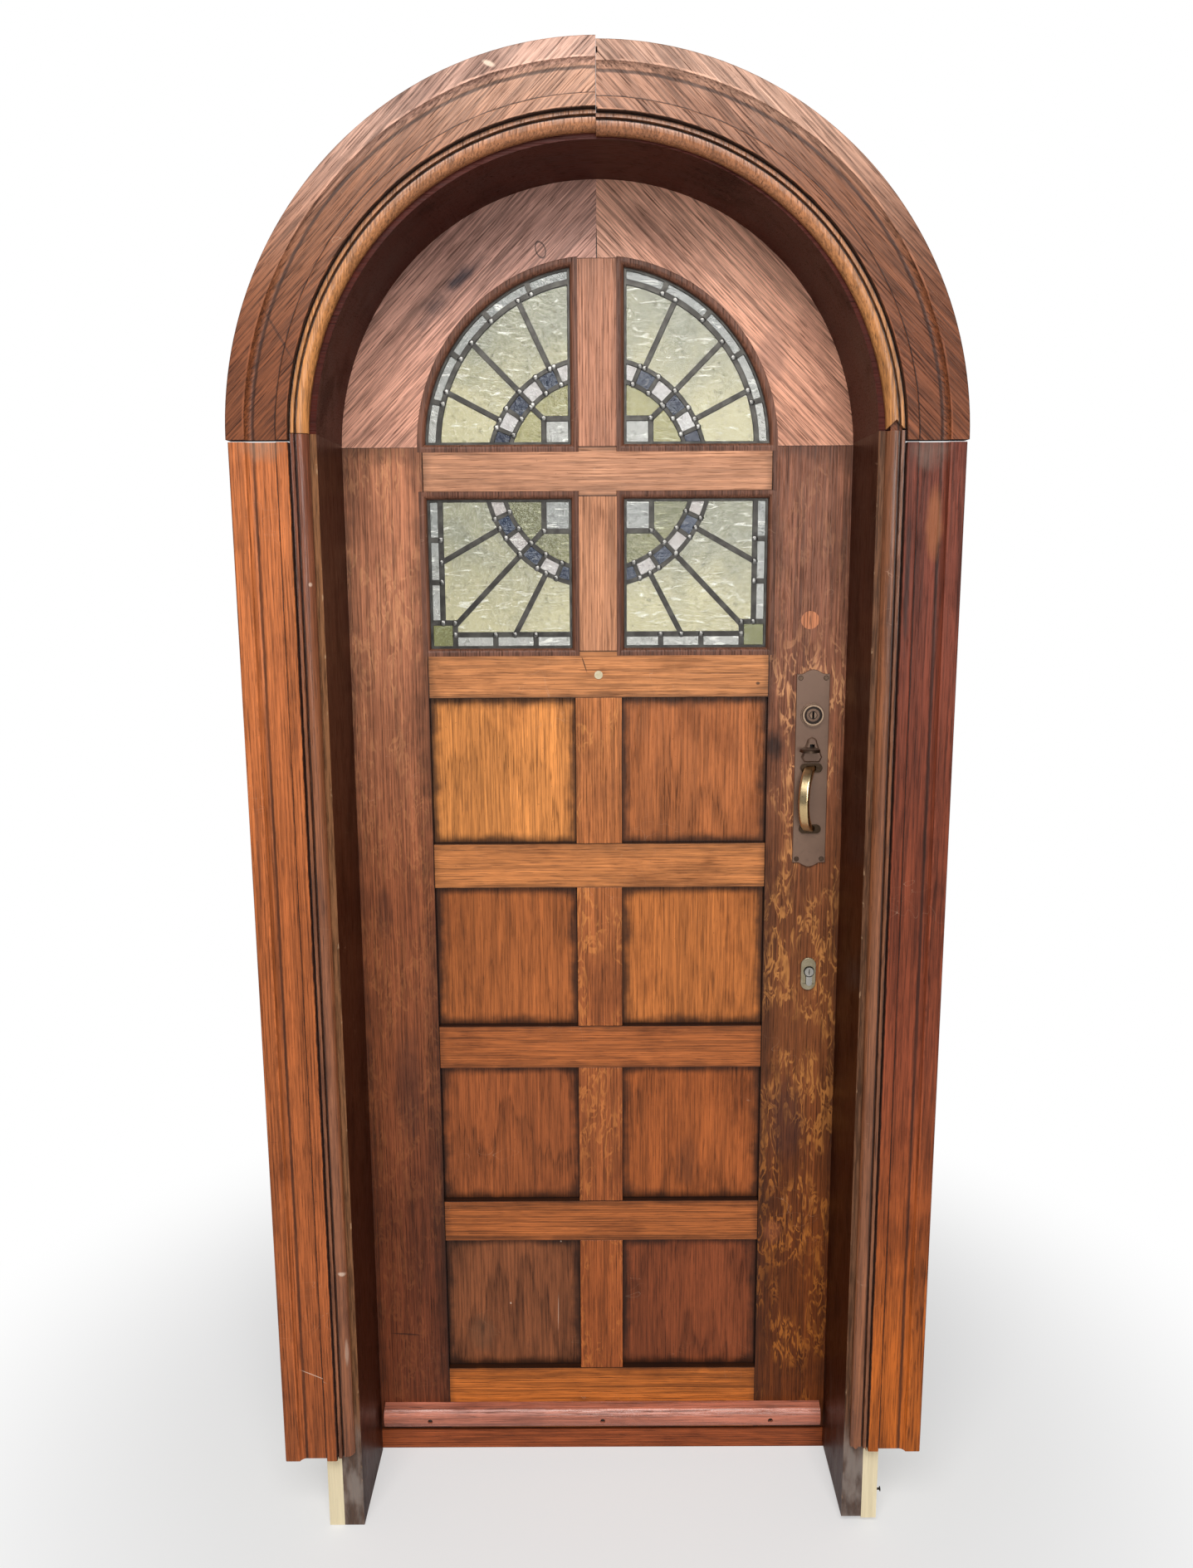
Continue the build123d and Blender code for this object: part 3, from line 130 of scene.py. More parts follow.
def make_floor():
    """A pale floor that fades into the white behind it a little way off from the object."""
    bpy.ops.object.select_all(action="DESELECT")
    bpy.ops.mesh.primitive_plane_add(size=14.0, location=(0.0, 2.0, -0.0005))
    floor = bpy.context.object
    floor.name = "floor"
    material, tree, matt, place = blank_material("pale_floor")
    matt.inputs["Base Color"].default_value = (0.86, 0.86, 0.86, 1.0)
    matt.inputs["Roughness"].default_value = 0.9
    glow = tree.nodes.new("ShaderNodeEmission")
    glow.inputs["Color"].default_value = (1.0, 1.0, 1.0, 1.0)
    flat = vector_calc(tree, "MULTIPLY", place, (1.0, 1.0, 0.0))
    spread = vector_calc(tree, "LENGTH", vector_calc(tree, "ADD", flat, (0.0, 2.0, 0.0)))
    share = times(tree, seen_white(tree), step(tree, spread, 0.55, 1.5, 0.45))
    out = next(n for n in tree.nodes if n.type == "OUTPUT_MATERIAL")
    mix_shaders(tree, share, matt, glow, out)
    floor.data.materials.append(material)


# Small helpers for shader trees

def feed(tree, socket, value):
    """Sets a socket to a number or colour, or links another socket to it."""
    if isinstance(value, bpy.types.NodeSocket):
        tree.links.new(value, socket)
    elif socket.type == "VECTOR":
        socket.default_value = value
    elif socket.type == "RGBA":
        socket.default_value = (*value, 1.0)
    else:
        socket.default_value = value


def calc(tree, operation, first, second=0.0, third=0.0, clamp=False):
    made = tree.nodes.new("ShaderNodeMath")
    made.operation = operation
    made.use_clamp = clamp
    feed(tree, made.inputs[0], first)
    feed(tree, made.inputs[1], second)
    feed(tree, made.inputs[2], third)
    return made.outputs[0]


def vector_calc(tree, operation, first, second=(0.0, 0.0, 0.0)):
    made = tree.nodes.new("ShaderNodeVectorMath")
    made.operation = operation
    feed(tree, made.inputs[0], first)
    feed(tree, made.inputs[1], second)
    return made.outputs["Value"] if operation in ("LENGTH", "DOT_PRODUCT") else made.outputs[0]


def step(tree, value, low, high, out_low=0.0, out_high=1.0):
    """A smooth rise between low and high."""
    made = tree.nodes.new("ShaderNodeMapRange")
    made.interpolation_type = "SMOOTHSTEP"
    feed(tree, made.inputs["Value"], value)
    feed(tree, made.inputs["From Min"], low)
    feed(tree, made.inputs["From Max"], high)
    feed(tree, made.inputs["To Min"], out_low)
    feed(tree, made.inputs["To Max"], out_high)
    return made.outputs[0]


def noise(tree, vector, scale, detail=2.0, rough=0.5, distort=0.0):
    made = tree.nodes.new("ShaderNodeTexNoise")
    feed(tree, made.inputs["Vector"], vector)
    feed(tree, made.inputs["Scale"], scale)
    made.inputs["Detail"].default_value = detail
    made.inputs["Roughness"].default_value = rough
    made.inputs["Distortion"].default_value = distort
    return made.outputs["Fac"]


def blend_colours(tree, share, first, second, mode="MIX"):
    made = tree.nodes.new("ShaderNodeMix")
    made.data_type = "RGBA"
    made.blend_type = mode
    feed(tree, made.inputs["Factor"], share)
    feed(tree, made.inputs["A"], first)
    feed(tree, made.inputs["B"], second)
    for socket in made.outputs:
        if socket.type == "RGBA":
            return socket


def times(tree, first, second):
    return calc(tree, "MULTIPLY", first, second)


def apart(tree, first, second):
    return calc(tree, "ABSOLUTE", calc(tree, "SUBTRACT", first, second))


def raise_skin(tree, skin, height, strength, distance):
    """Lets a height stand out of the surface in the light."""
    raised = tree.nodes.new("ShaderNodeBump")
    raised.inputs["Strength"].default_value = strength
    raised.inputs["Distance"].default_value = distance
    tree.links.new(height, raised.inputs["Height"])
    tree.links.new(raised.outputs[0], skin.inputs["Normal"])


def combine(tree, x, y, z):
    made = tree.nodes.new("ShaderNodeCombineXYZ")
    feed(tree, made.inputs[0], x)
    feed(tree, made.inputs[1], y)
    feed(tree, made.inputs[2], z)
    return made.outputs[0]


def split(tree, vector):
    made = tree.nodes.new("ShaderNodeSeparateXYZ")
    feed(tree, made.inputs[0], vector)
    return made.outputs[0], made.outputs[1], made.outputs[2]


def new_group(name, takes, gives):
    """An empty shader group with named sockets."""
    kinds = {"colour": "NodeSocketColor", "number": "NodeSocketFloat", "vector": "NodeSocketVector"}
    tree = bpy.data.node_groups.new(name, "ShaderNodeTree")
    for label, kind, value in takes:
        socket = tree.interface.new_socket(name=label, in_out="INPUT", socket_type=kinds[kind])
        if value is not None:
            socket.default_value = value
    for label, kind in gives:
        tree.interface.new_socket(name=label, in_out="OUTPUT", socket_type=kinds[kind])
    entry = tree.nodes.new("NodeGroupInput")
    leave = tree.nodes.new("NodeGroupOutput")
    return tree, entry.outputs, leave.inputs


def use_group(tree, group, **values):
    """Places a group in a tree; words in the socket names are joined by underscores here."""
    made = tree.nodes.new("ShaderNodeGroup")
    made.node_tree = group
    for socket in made.inputs:
        key = socket.name.replace(" ", "_").lower()
        if key in values:
            feed(tree, socket, values[key])
    return made.outputs


# Oak

def make_oak_group():
    """Open-grained oak, its grain along Z: growth rings about a heart, fibres, pores and rays."""
    tree, take, give = new_group(
        "oak",
        [
            ("Vector", "vector", None),
            ("Dark", "colour", (0.1, 0.03, 0.012, 1.0)),
            ("Mid", "colour", (0.3, 0.1, 0.035, 1.0)),
            ("Light", "colour", (0.5, 0.2, 0.07, 1.0)),
            ("Heart X", "number", 0.4),
            ("Heart Y", "number", 0.05),
            ("Slope", "number", 0.0),
            ("Spacing", "number", 0.004),
            ("Wander", "number", 0.012),
            ("Ring Strength", "number", 0.5),
            ("Fibre Strength", "number", 0.5),
            ("Pore Strength", "number", 0.5),
            ("Ray Strength", "number", 0.0),
        ],
        [("Color", "colour"), ("Rough", "number"), ("Height", "number")],
    )
    v = take["Vector"]

    def grain(wide, long, detail, rough=0.5, distort=0.0):
        return noise(tree, vector_calc(tree, "MULTIPLY", v, (wide, wide, long)), 1.0, detail, rough, distort)

    def stain(share, under, over):
        return blend_colours(tree, share, under, over)

    broad = grain(3.4, 0.9, 2.0)
    x, y, z = split(tree, v)
    sway = times(tree, calc(tree, "SUBTRACT", broad, 0.5), take["Wander"])
    jitter = times(tree, calc(tree, "SUBTRACT", grain(36.0, 4.0, 3.0), 0.5), 0.008)
    across = calc(tree, "ADD", calc(tree, "SUBTRACT", x, take["Heart X"]), sway)
    deep = calc(tree, "ADD", calc(tree, "SUBTRACT", y, take["Heart Y"]), times(tree, z, take["Slope"]))
    radius = calc(tree, "ADD", vector_calc(tree, "LENGTH", combine(tree, across, deep, 0.0)), jitter)
    turns = calc(tree, "DIVIDE", radius, take["Spacing"])
    ring = calc(tree, "FRACT", turns)
    after, before = step(tree, ring, 0.0, 0.14, 1.0, 0.0), step(tree, ring, 0.62, 1.0)
    early = calc(tree, "ADD", after, before, clamp=True)
    which = calc(tree, "FLOOR", turns)
    vary = noise(tree, combine(tree, which, 0.0, times(tree, z, 0.7)), 0.37, 2.0)
    early = times(tree, early, step(tree, vary, 0.25, 0.7, 0.2, 1.0))

    band = grain(62.0, 1.9, 3.0, 0.6)
    patch = grain(7.0, 1.6, 3.0)
    tone = calc(tree, "MULTIPLY_ADD", patch, 0.35, times(tree, broad, 0.2))
    tone = calc(tree, "MULTIPLY_ADD", band, 0.45, tone)
    colour = stain(step(tree, tone, 0.36, 0.62), take["Mid"], take["Light"])
    fibre = grain(310.0, 7.0, 4.0, 0.7)
    dark_fibre = times(tree, step(tree, fibre, 0.36, 0.56, 1.0, 0.0), take["Fibre Strength"])
    colour = stain(dark_fibre, colour, take["Dark"])
    pale_fibre = times(tree, step(tree, fibre, 0.54, 0.70), times(tree, take["Fibre Strength"], 0.8))
    colour = stain(pale_fibre, colour, vector_calc(tree, "MULTIPLY", take["Light"], (1.3, 1.38, 1.45)))
    colour = stain(times(tree, early, take["Ring Strength"]), colour, take["Dark"])
    pore = step(tree, grain(520.0, 24.0, 2.0), 0.54, 0.63)
    pore = times(tree, pore, calc(tree, "MULTIPLY_ADD", early, 0.6, 0.4))
    colour = stain(times(tree, pore, take["Pore Strength"]), colour,
                   vector_calc(tree, "MULTIPLY", take["Dark"], (0.45, 0.36, 0.34)))

    ripple = apart(tree, grain(64.0, 19.0, 2.5, 0.55, 1.5), 0.54)
    where = step(tree, grain(15.0, 7.0, 3.0), 0.42, 0.54)
    ray = times(tree, times(tree, step(tree, ripple, 0.02, 0.075, 1.0, 0.0), where), take["Ray Strength"])
    ray = times(tree, ray, step(tree, grain(150.0, 30.0, 2.0), 0.38, 0.52, 0.25, 1.0))
    colour = stain(ray, colour, vector_calc(tree, "MULTIPLY", take["Light"], (1.75, 2.3, 2.1)))
    tree.links.new(colour, give["Color"])
    tree.links.new(calc(tree, "MULTIPLY_ADD", pore, 0.25, times(tree, patch, 0.16)), give["Rough"])
    hollow = calc(tree, "MULTIPLY_ADD", pore, 1.3, times(tree, early, 0.5))
    tree.links.new(calc(tree, "SUBTRACT", times(tree, fibre, 0.7), hollow), give["Height"])
    return tree


def make_margin_group():
    """One at the edges of a board seen from the front and nought inside, ragged by noise."""
    tree, take, give = new_group(
        "margin",
        [
            ("Vector", "vector", None),
            ("Middle X", "number", 0.0),
            ("Middle Z", "number", 1.0),
            ("Half X", "number", 0.1),
            ("Half Z", "number", 0.1),
            ("Width", "number", 0.002),
            ("Ragged", "number", 0.3),
        ],
        [("Mask", "number")],
    )
    x, y, z = split(tree, take["Vector"])

    def inside(place, middle, half):
        return calc(tree, "SUBTRACT", half, apart(tree, place, middle))

    dx = inside(x, take["Middle X"], take["Half X"])
    dz = inside(z, take["Middle Z"], take["Half Z"])
    near = calc(tree, "SMOOTH_MIN", dx, dz, times(tree, take["Width"], 1.5))
    rag = calc(tree, "SUBTRACT", noise(tree, take["Vector"], 30.0, 4.0), 0.5)
    rag = times(tree, times(tree, rag, take["Ragged"]), take["Width"])
    near = calc(tree, "ADD", near, rag)
    tree.links.new(step(tree, near, 0.0, take["Width"], 1.0, 0.0), give["Mask"])
    return tree


def make_spot_group():
    """A soft-edged oval mark at one place on the front, turned and ragged."""
    tree, take, give = new_group(
        "spot",
        [
            ("Vector", "vector", None),
            ("Place", "vector", (0.0, 0.0, 0.0)),
            ("Size", "vector", (0.01, 1.0, 0.01)),
            ("Turn", "number", 0.0),
            ("Soft", "number", 0.5),
            ("Ragged", "number", 0.3),
        ],
        [("Mask", "number"), ("Reach", "number")],
    )
    off = vector_calc(tree, "SUBTRACT", take["Vector"], take["Place"])
    turned = tree.nodes.new("ShaderNodeVectorRotate")
    turned.rotation_type = "Y_AXIS"
    tree.links.new(off, turned.inputs["Vector"])
    tree.links.new(take["Turn"], turned.inputs["Angle"])
    reach = vector_calc(tree, "LENGTH", vector_calc(tree, "DIVIDE", turned.outputs[0], take["Size"]))
    rag = calc(tree, "SUBTRACT", noise(tree, take["Vector"], 45.0, 4.0), 0.5)
    reach = calc(tree, "MULTIPLY_ADD", rag, take["Ragged"], reach)
    tree.links.new(step(tree, reach, calc(tree, "SUBTRACT", 1.0, take["Soft"]), 1.0, 1.0, 0.0), give["Mask"])
    tree.links.new(reach, give["Reach"])
    return tree


# distance from the opening's middle, half width and strength of each crease, darkened by dirt and painted
# shade, and each corner, lightened by rub and a painted highlight
CREASE_DIRT_AND_SHADE = (
    (0.4263, 0.0024, 0.85), (0.4336, 0.0020, 0.95),
    (0.4524, 0.0024, 0.90), (0.4845, 0.0034, 0.75),
)
ARRIS_RUB_AND_HIGHLIGHT = ((0.4357, 0.0014, 0.7), (0.4502, 0.0012, 0.6), (0.4964, 0.0018, 0.9))


def make_mould_group():
    """Dirt and painted shade in the creases of the mouldings, rub and painted highlight on their corners, and
    the outer band by itself.
    """
    tree, take, give = new_group(
        "mouldings",
        [("Vector", "vector", None), ("Centre Z", "number", SPRING_Z)],
        [("Crease", "number"), ("Worn", "number"), ("Outer", "number")],
    )
    x, y, z = split(tree, take["Vector"])
    up = calc(tree, "MAXIMUM", calc(tree, "SUBTRACT", z, take["Centre Z"]), 0.0)
    reach = vector_calc(tree, "LENGTH", combine(tree, x, 0.0, up))
    rag = calc(tree, "SUBTRACT", noise(tree, take["Vector"], 60.0, 3.0), 0.5)
    reach = calc(tree, "MULTIPLY_ADD", rag, 0.0022, reach)

    def lines(places):
        most = 0.0
        for radius, half, share in places:
            line = step(tree, apart(tree, reach, radius), half * 0.3, half, share, 0.0)
            most = calc(tree, "MAXIMUM", line, most)
        return most

    tree.links.new(lines(CREASE_DIRT_AND_SHADE), give["Crease"])
    tree.links.new(step(tree, reach, 0.486, 0.492), give["Outer"])
    patches = step(tree, noise(tree, take["Vector"], 17.0, 4.0, 0.65), 0.40, 0.62)
    tree.links.new(times(tree, lines(ARRIS_RUB_AND_HIGHLIGHT), patches), give["Worn"])
    return tree


def make_age_group():
    """Blotches, specks and hairline scratches of a century's use."""
    tree, take, give = new_group(
        "age",
        [("Vector", "vector", None), ("Color", "colour", (0.3, 0.1, 0.04, 1.0)), ("Grime", "number", 0.4)],
        [("Color", "colour"), ("Rough", "number")],
    )
    v = take["Vector"]
    blotch = noise(tree, vector_calc(tree, "MULTIPLY", v, (1.0, 1.0, 0.5)), 11.0, 5.0, 0.62)
    blotch = step(tree, blotch, 0.50, 0.70)
    share = times(tree, blotch, take["Grime"])
    colour = blend_colours(tree, share, take["Color"], (0.30, 0.24, 0.24), "MULTIPLY")
    speck = step(tree, noise(tree, v, 210.0, 2.0, 0.6), 0.70, 0.76, 0.0, 0.75)
    speck = times(tree, speck, take["Grime"])
    colour = blend_colours(tree, speck, colour, (0.02, 0.008, 0.005))
    hair = noise(tree, vector_calc(tree, "MULTIPLY", v, (7.0, 7.0, 16.0)), 1.0, 1.0, 0.5, 2.5)
    hair = step(tree, apart(tree, hair, 0.5), 0.0, 0.0022, 1.0, 0.0)
    place = step(tree, noise(tree, v, 6.0, 1.0), 0.58, 0.66)
    hair = times(tree, times(tree, hair, place), 0.35)
    tree.links.new(blend_colours(tree, hair, colour, (0.62, 0.40, 0.27)), give["Color"])
    tree.links.new(times(tree, blotch, 0.12), give["Rough"])
    return tree


OAK = make_oak_group()
MARGIN = make_margin_group()
SPOT = make_spot_group()
MOULD = make_mould_group()
AGE = make_age_group()


def blank_material(name):
    material = bpy.data.materials.new(name)
    material.use_nodes = True
    tree = material.node_tree
    tree.nodes.clear()
    out = tree.nodes.new("ShaderNodeOutputMaterial")
    skin = tree.nodes.new("ShaderNodeBsdfPrincipled")
    tree.links.new(skin.outputs[0], out.inputs["Surface"])
    place = tree.nodes.new("ShaderNodeTexCoord")
    return material, tree, skin, place.outputs["Object"]


def dress(node_name, material):
    """Gives a node of the frame its finish."""
    mesh = nodes[node_name].data
    mesh.materials.clear()
    mesh.materials.append(material)


def tinted(tree, colour, factor):
    """A colour times a number or three numbers."""
    factor = factor if isinstance(factor, tuple) else (factor, factor, factor)
    return vector_calc(tree, "MULTIPLY", colour, factor)


def board_tone(tree, place, tones, span, sides):
    """A board's middle colour: tones from foot to top, and another strength right of the middle."""
    x, y, z = split(tree, place)
    colour = tones[0]
    if len(tones) > 1:
        low, high = span
        gap = (high - low) / (len(tones) - 1)
        for count, tone in enumerate(tones[1:]):
            start = low + gap * count
            colour = blend_colours(tree, step(tree, z, start, start + gap), colour, tone)
    if sides:
        right = step(tree, x, -0.001, 0.001)
        colour = blend_colours(tree, right, colour, sides, "MULTIPLY")
    return colour


def add_marks(tree, place, colour, spots):
    """Lays stains, chips and scratches over a colour."""
    for spot in spots:
        mask = use_group(tree, SPOT, vector=place, place=spot["place"], size=spot["size"],
                         turn=math.radians(spot["turn"]), soft=spot["soft"], ragged=spot["ragged"])
        share = times(tree, mask["Mask"], spot["share"])
        if spot["hollow"]:
            inner = step(tree, mask["Reach"], spot["hollow"] - 0.22, spot["hollow"])
            share = times(tree, share, inner)
        colour = blend_colours(tree, share, colour, spot["colour"])
    return colour


def timber(name, tones, span=(0.0, 1.0), sides=None, contrast=(0.30, 1.55), grain=0.0, seed=1.0,
           heart=(0.5, 0.03), slope=0.0, spacing=0.0045, ring=0.45, fibre=0.55, pore=0.7, ray=0.0, rough=0.40,
           wander=0.02, joint=0.0016, grime=0.0, grime_wide=0.02, age=0.45, box=None, twin=False, bump=0.35,
           spots=(), mould=None, pale=None, sheen=0.24):
    """A material for one board. grain is the slope of its grain from upright, in degrees, and box its front
    outline, along which joints are drawn dark and grime with painted shade darkens the edges and corners."""
    material, tree, skin, place = blank_material(name)
    middle = board_tone(tree, place, tones, span, sides)
    if mould:
        marks = use_group(tree, MOULD, vector=place, centre_z=mould)
    # painted sheen: pale lightens the outer band towards the crown of the arch
    if pale:
        high = step(tree, split(tree, place)[2], 1.95, 2.24)
        middle = blend_colours(tree, times(tree, marks["Outer"], high), middle, pale)
    start = place
    if twin:
        x, y, z = split(tree, place)
        side = calc(tree, "SIGN", x)
        start = combine(tree, times(tree, x, side), y, calc(tree, "MULTIPLY_ADD", side, 3.3, z))
    mapping = tree.nodes.new("ShaderNodeMapping")
    mapping.inputs["Location"].default_value = (0.0, 0.0, seed * 7.31)
    mapping.inputs["Rotation"].default_value = (0.0, math.radians(-grain), 0.0)
    tree.links.new(start, mapping.inputs["Vector"])
    if isinstance(ray, tuple):
        ray = step(tree, split(tree, place)[2], ray[2], ray[3], ray[0], ray[1])
    oak = use_group(
        tree, OAK, vector=mapping.outputs[0], dark=tinted(tree, middle, contrast[0]), mid=middle,
        light=tinted(tree, middle, contrast[1]), heart_x=heart[0], heart_y=heart[1], slope=slope,
        spacing=spacing, wander=wander, ring_strength=ring, fibre_strength=fibre, pore_strength=pore,
        ray_strength=ray,
    )
    aged = use_group(tree, AGE, vector=mapping.outputs[0], color=oak["Color"], grime=age)
    colour = aged["Color"]
    if box:
        x1, x2, z1, z2 = box
        area = dict(vector=place, middle_x=(x1 + x2) / 2, middle_z=(z1 + z2) / 2,
                    half_x=(x2 - x1) / 2, half_z=(z2 - z1) / 2)
        if twin:
            x, y, z = split(tree, place)
            area["vector"] = combine(tree, calc(tree, "ABSOLUTE", x), y, z)
        # the first pass is grime with painted shade darkening each board's edges and corners where the parts
        # meet; the second draws the dark joint lines
        for share, width, ragged, tint in (
            (grime, grime_wide, 1.4, (0.022, 0.008, 0.004)),
            (joint and 0.9, joint, 0.6, (0.010, 0.004, 0.003)),
        ):
            if share:
                edge = use_group(tree, MARGIN, **area, width=width, ragged=ragged)["Mask"]
                colour = blend_colours(tree, times(tree, edge, share), colour, tint)
    if mould:
        # dirt and painted shade in the creases of the mouldings
        colour = blend_colours(tree, marks["Crease"], colour, (0.016, 0.006, 0.004))
        # rub and a painted highlight along the mouldings' arrises
        worn = times(tree, marks["Worn"], 0.6)
        colour = blend_colours(tree, worn, colour, tinted(tree, middle, 2.3))
    colour = add_marks(tree, place, colour, spots)
    tree.links.new(colour, skin.inputs["Base Color"])
    dull = calc(tree, "ADD", oak["Rough"], aged["Rough"])
    tree.links.new(calc(tree, "ADD", dull, rough - 0.08), skin.inputs["Roughness"])
    skin.inputs["Specular IOR Level"].default_value = sheen
    raise_skin(tree, skin, oak["Height"], bump, 0.0008)
    return material


def mark(x, z, wide, tall, colour, share=0.7, turn=0.0, soft=0.6, ragged=0.5, y=177.0, hollow=None):
    """A mark on the front at a place in millimetres, with its width and height."""
    size = (wide / 2000.0, 1.0, tall / 2000.0)
    return dict(place=at(x, y, z), size=size, colour=colour, share=share, turn=turn, soft=soft,
                ragged=ragged, hollow=hollow)


def front_box(node_name):
    low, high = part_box(node_name)
    return (low[0], high[0], low[2], high[2])


def trimmed(node_name, half_x):
    """The front outline of a rail without its hidden tenons."""
    low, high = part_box(node_name)
    return (-half_x, half_x, low[2], high[2])


STILE_IN = 0.275      # the inner edge of the stiles, from the middle
PLUG_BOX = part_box("wood_plug")
PLUG = [500.0 * (PLUG_BOX[0][axis] + PLUG_BOX[1][axis]) for axis in (0, 2)]
PANEL_BOX = {
    "bottom_panels": (0.0375, 0.275, 0.164, 0.414),
    "lower_middle_panels": (0.0375, 0.275, 0.489, 0.737),
    "upper_middle_panels": (0.0375, 0.275, 0.812, 1.056),
    "top_panels": (0.0375, 0.275, 1.131, 1.374),
}


BLACK = (0.012, 0.006, 0.005)
PALE_SCUFF = (0.75, 0.55, 0.42)

# colours of each member from its foot to its top: the wood's own colour with painted light and shade in it as
# the light falls down the door and frame, and a painted sheen towards the arch's crown
TONES = {
    "hinge_stile": ((0.121, 0.030, 0.011), (0.180, 0.052, 0.019), (0.317, 0.120, 0.059)),
    "lock_stile": ((0.110, 0.026, 0.0042), (0.134, 0.041, 0.012), (0.203, 0.075, 0.040)),
    "left_head": ((0.510, 0.248, 0.170), (0.455, 0.240, 0.184)),
    "right_head": ((0.536, 0.252, 0.160), (0.607, 0.310, 0.210)),
    "transom_rail": ((0.495, 0.230, 0.123),),
    "viewer_rail": ((0.446, 0.175, 0.061),),
    "lock_rail": ((0.490, 0.176, 0.052),),
    "middle_rail": ((0.363, 0.105, 0.027),),
    "low_rail": ((0.235, 0.068, 0.017),),
    "bottom_rail": ((0.320, 0.089, 0.015),),
    "upper_light_muntin": ((0.38, 0.165, 0.095),),
    "lower_light_muntin": ((0.455, 0.200, 0.101),),
    "panel_muntins": ((0.255, 0.064, 0.015), (0.295, 0.082, 0.022), (0.380, 0.128, 0.038)),
    "top_panels": ((0.562, 0.206, 0.051),),
    "upper_middle_panels": ((0.330, 0.095, 0.023),),
    "lower_middle_panels": ((0.270, 0.072, 0.019),),
    "bottom_panels": ((0.189, 0.059, 0.021),),
    "weather_bar": ((0.443, 0.144, 0.087),),
    "wood_plug": ((0.52, 0.19, 0.085),),
    # painted shade: the jambs' tones are darkened for the shade in the reveals
    "left_jamb": ((0.043, 0.007, 0.0015),),
    "right_jamb": ((0.042, 0.007, 0.0012),),
    "threshold": ((0.262, 0.061, 0.017),),
    "left_architrave": ((0.270, 0.070, 0.018), (0.349, 0.095, 0.025), (0.385, 0.115, 0.035)),
    "right_architrave": ((0.316, 0.077, 0.009), (0.156, 0.034, 0.013), (0.110, 0.026, 0.014)),
    "left_arch_architrave": ((0.150, 0.046, 0.017), (0.205, 0.079, 0.036), (0.436, 0.235, 0.152)),
    "right_arch_architrave": ((0.150, 0.046, 0.018), (0.196, 0.073, 0.034), (0.400, 0.205, 0.130)),
    "left_cove": ((0.24, 0.085, 0.036), (0.17, 0.055, 0.028)),
    "right_cove": ((0.22, 0.080, 0.034), (0.19, 0.074, 0.036)),
    "left_arch_cove": ((0.42, 0.175, 0.055), (0.32, 0.130, 0.055)),
    "right_arch_cove": ((0.38, 0.160, 0.052), (0.30, 0.120, 0.052)),
}
# strength of the growth rings, dark and light of the grain, and seed
RAIL_GRAIN = {
    "transom_rail": (0.35, (0.42, 1.45), 5.0),
    "viewer_rail": (0.35, (0.38, 1.5), 6.0),
    "lock_rail": (0.40, (0.36, 1.5), 7.0),
    "middle_rail": (0.45, (0.32, 1.6), 8.0),
    "low_rail": (0.60, (0.32, 2.3), 9.0),
    "bottom_rail": (0.60, (0.32, 2.2), 10.0),
}
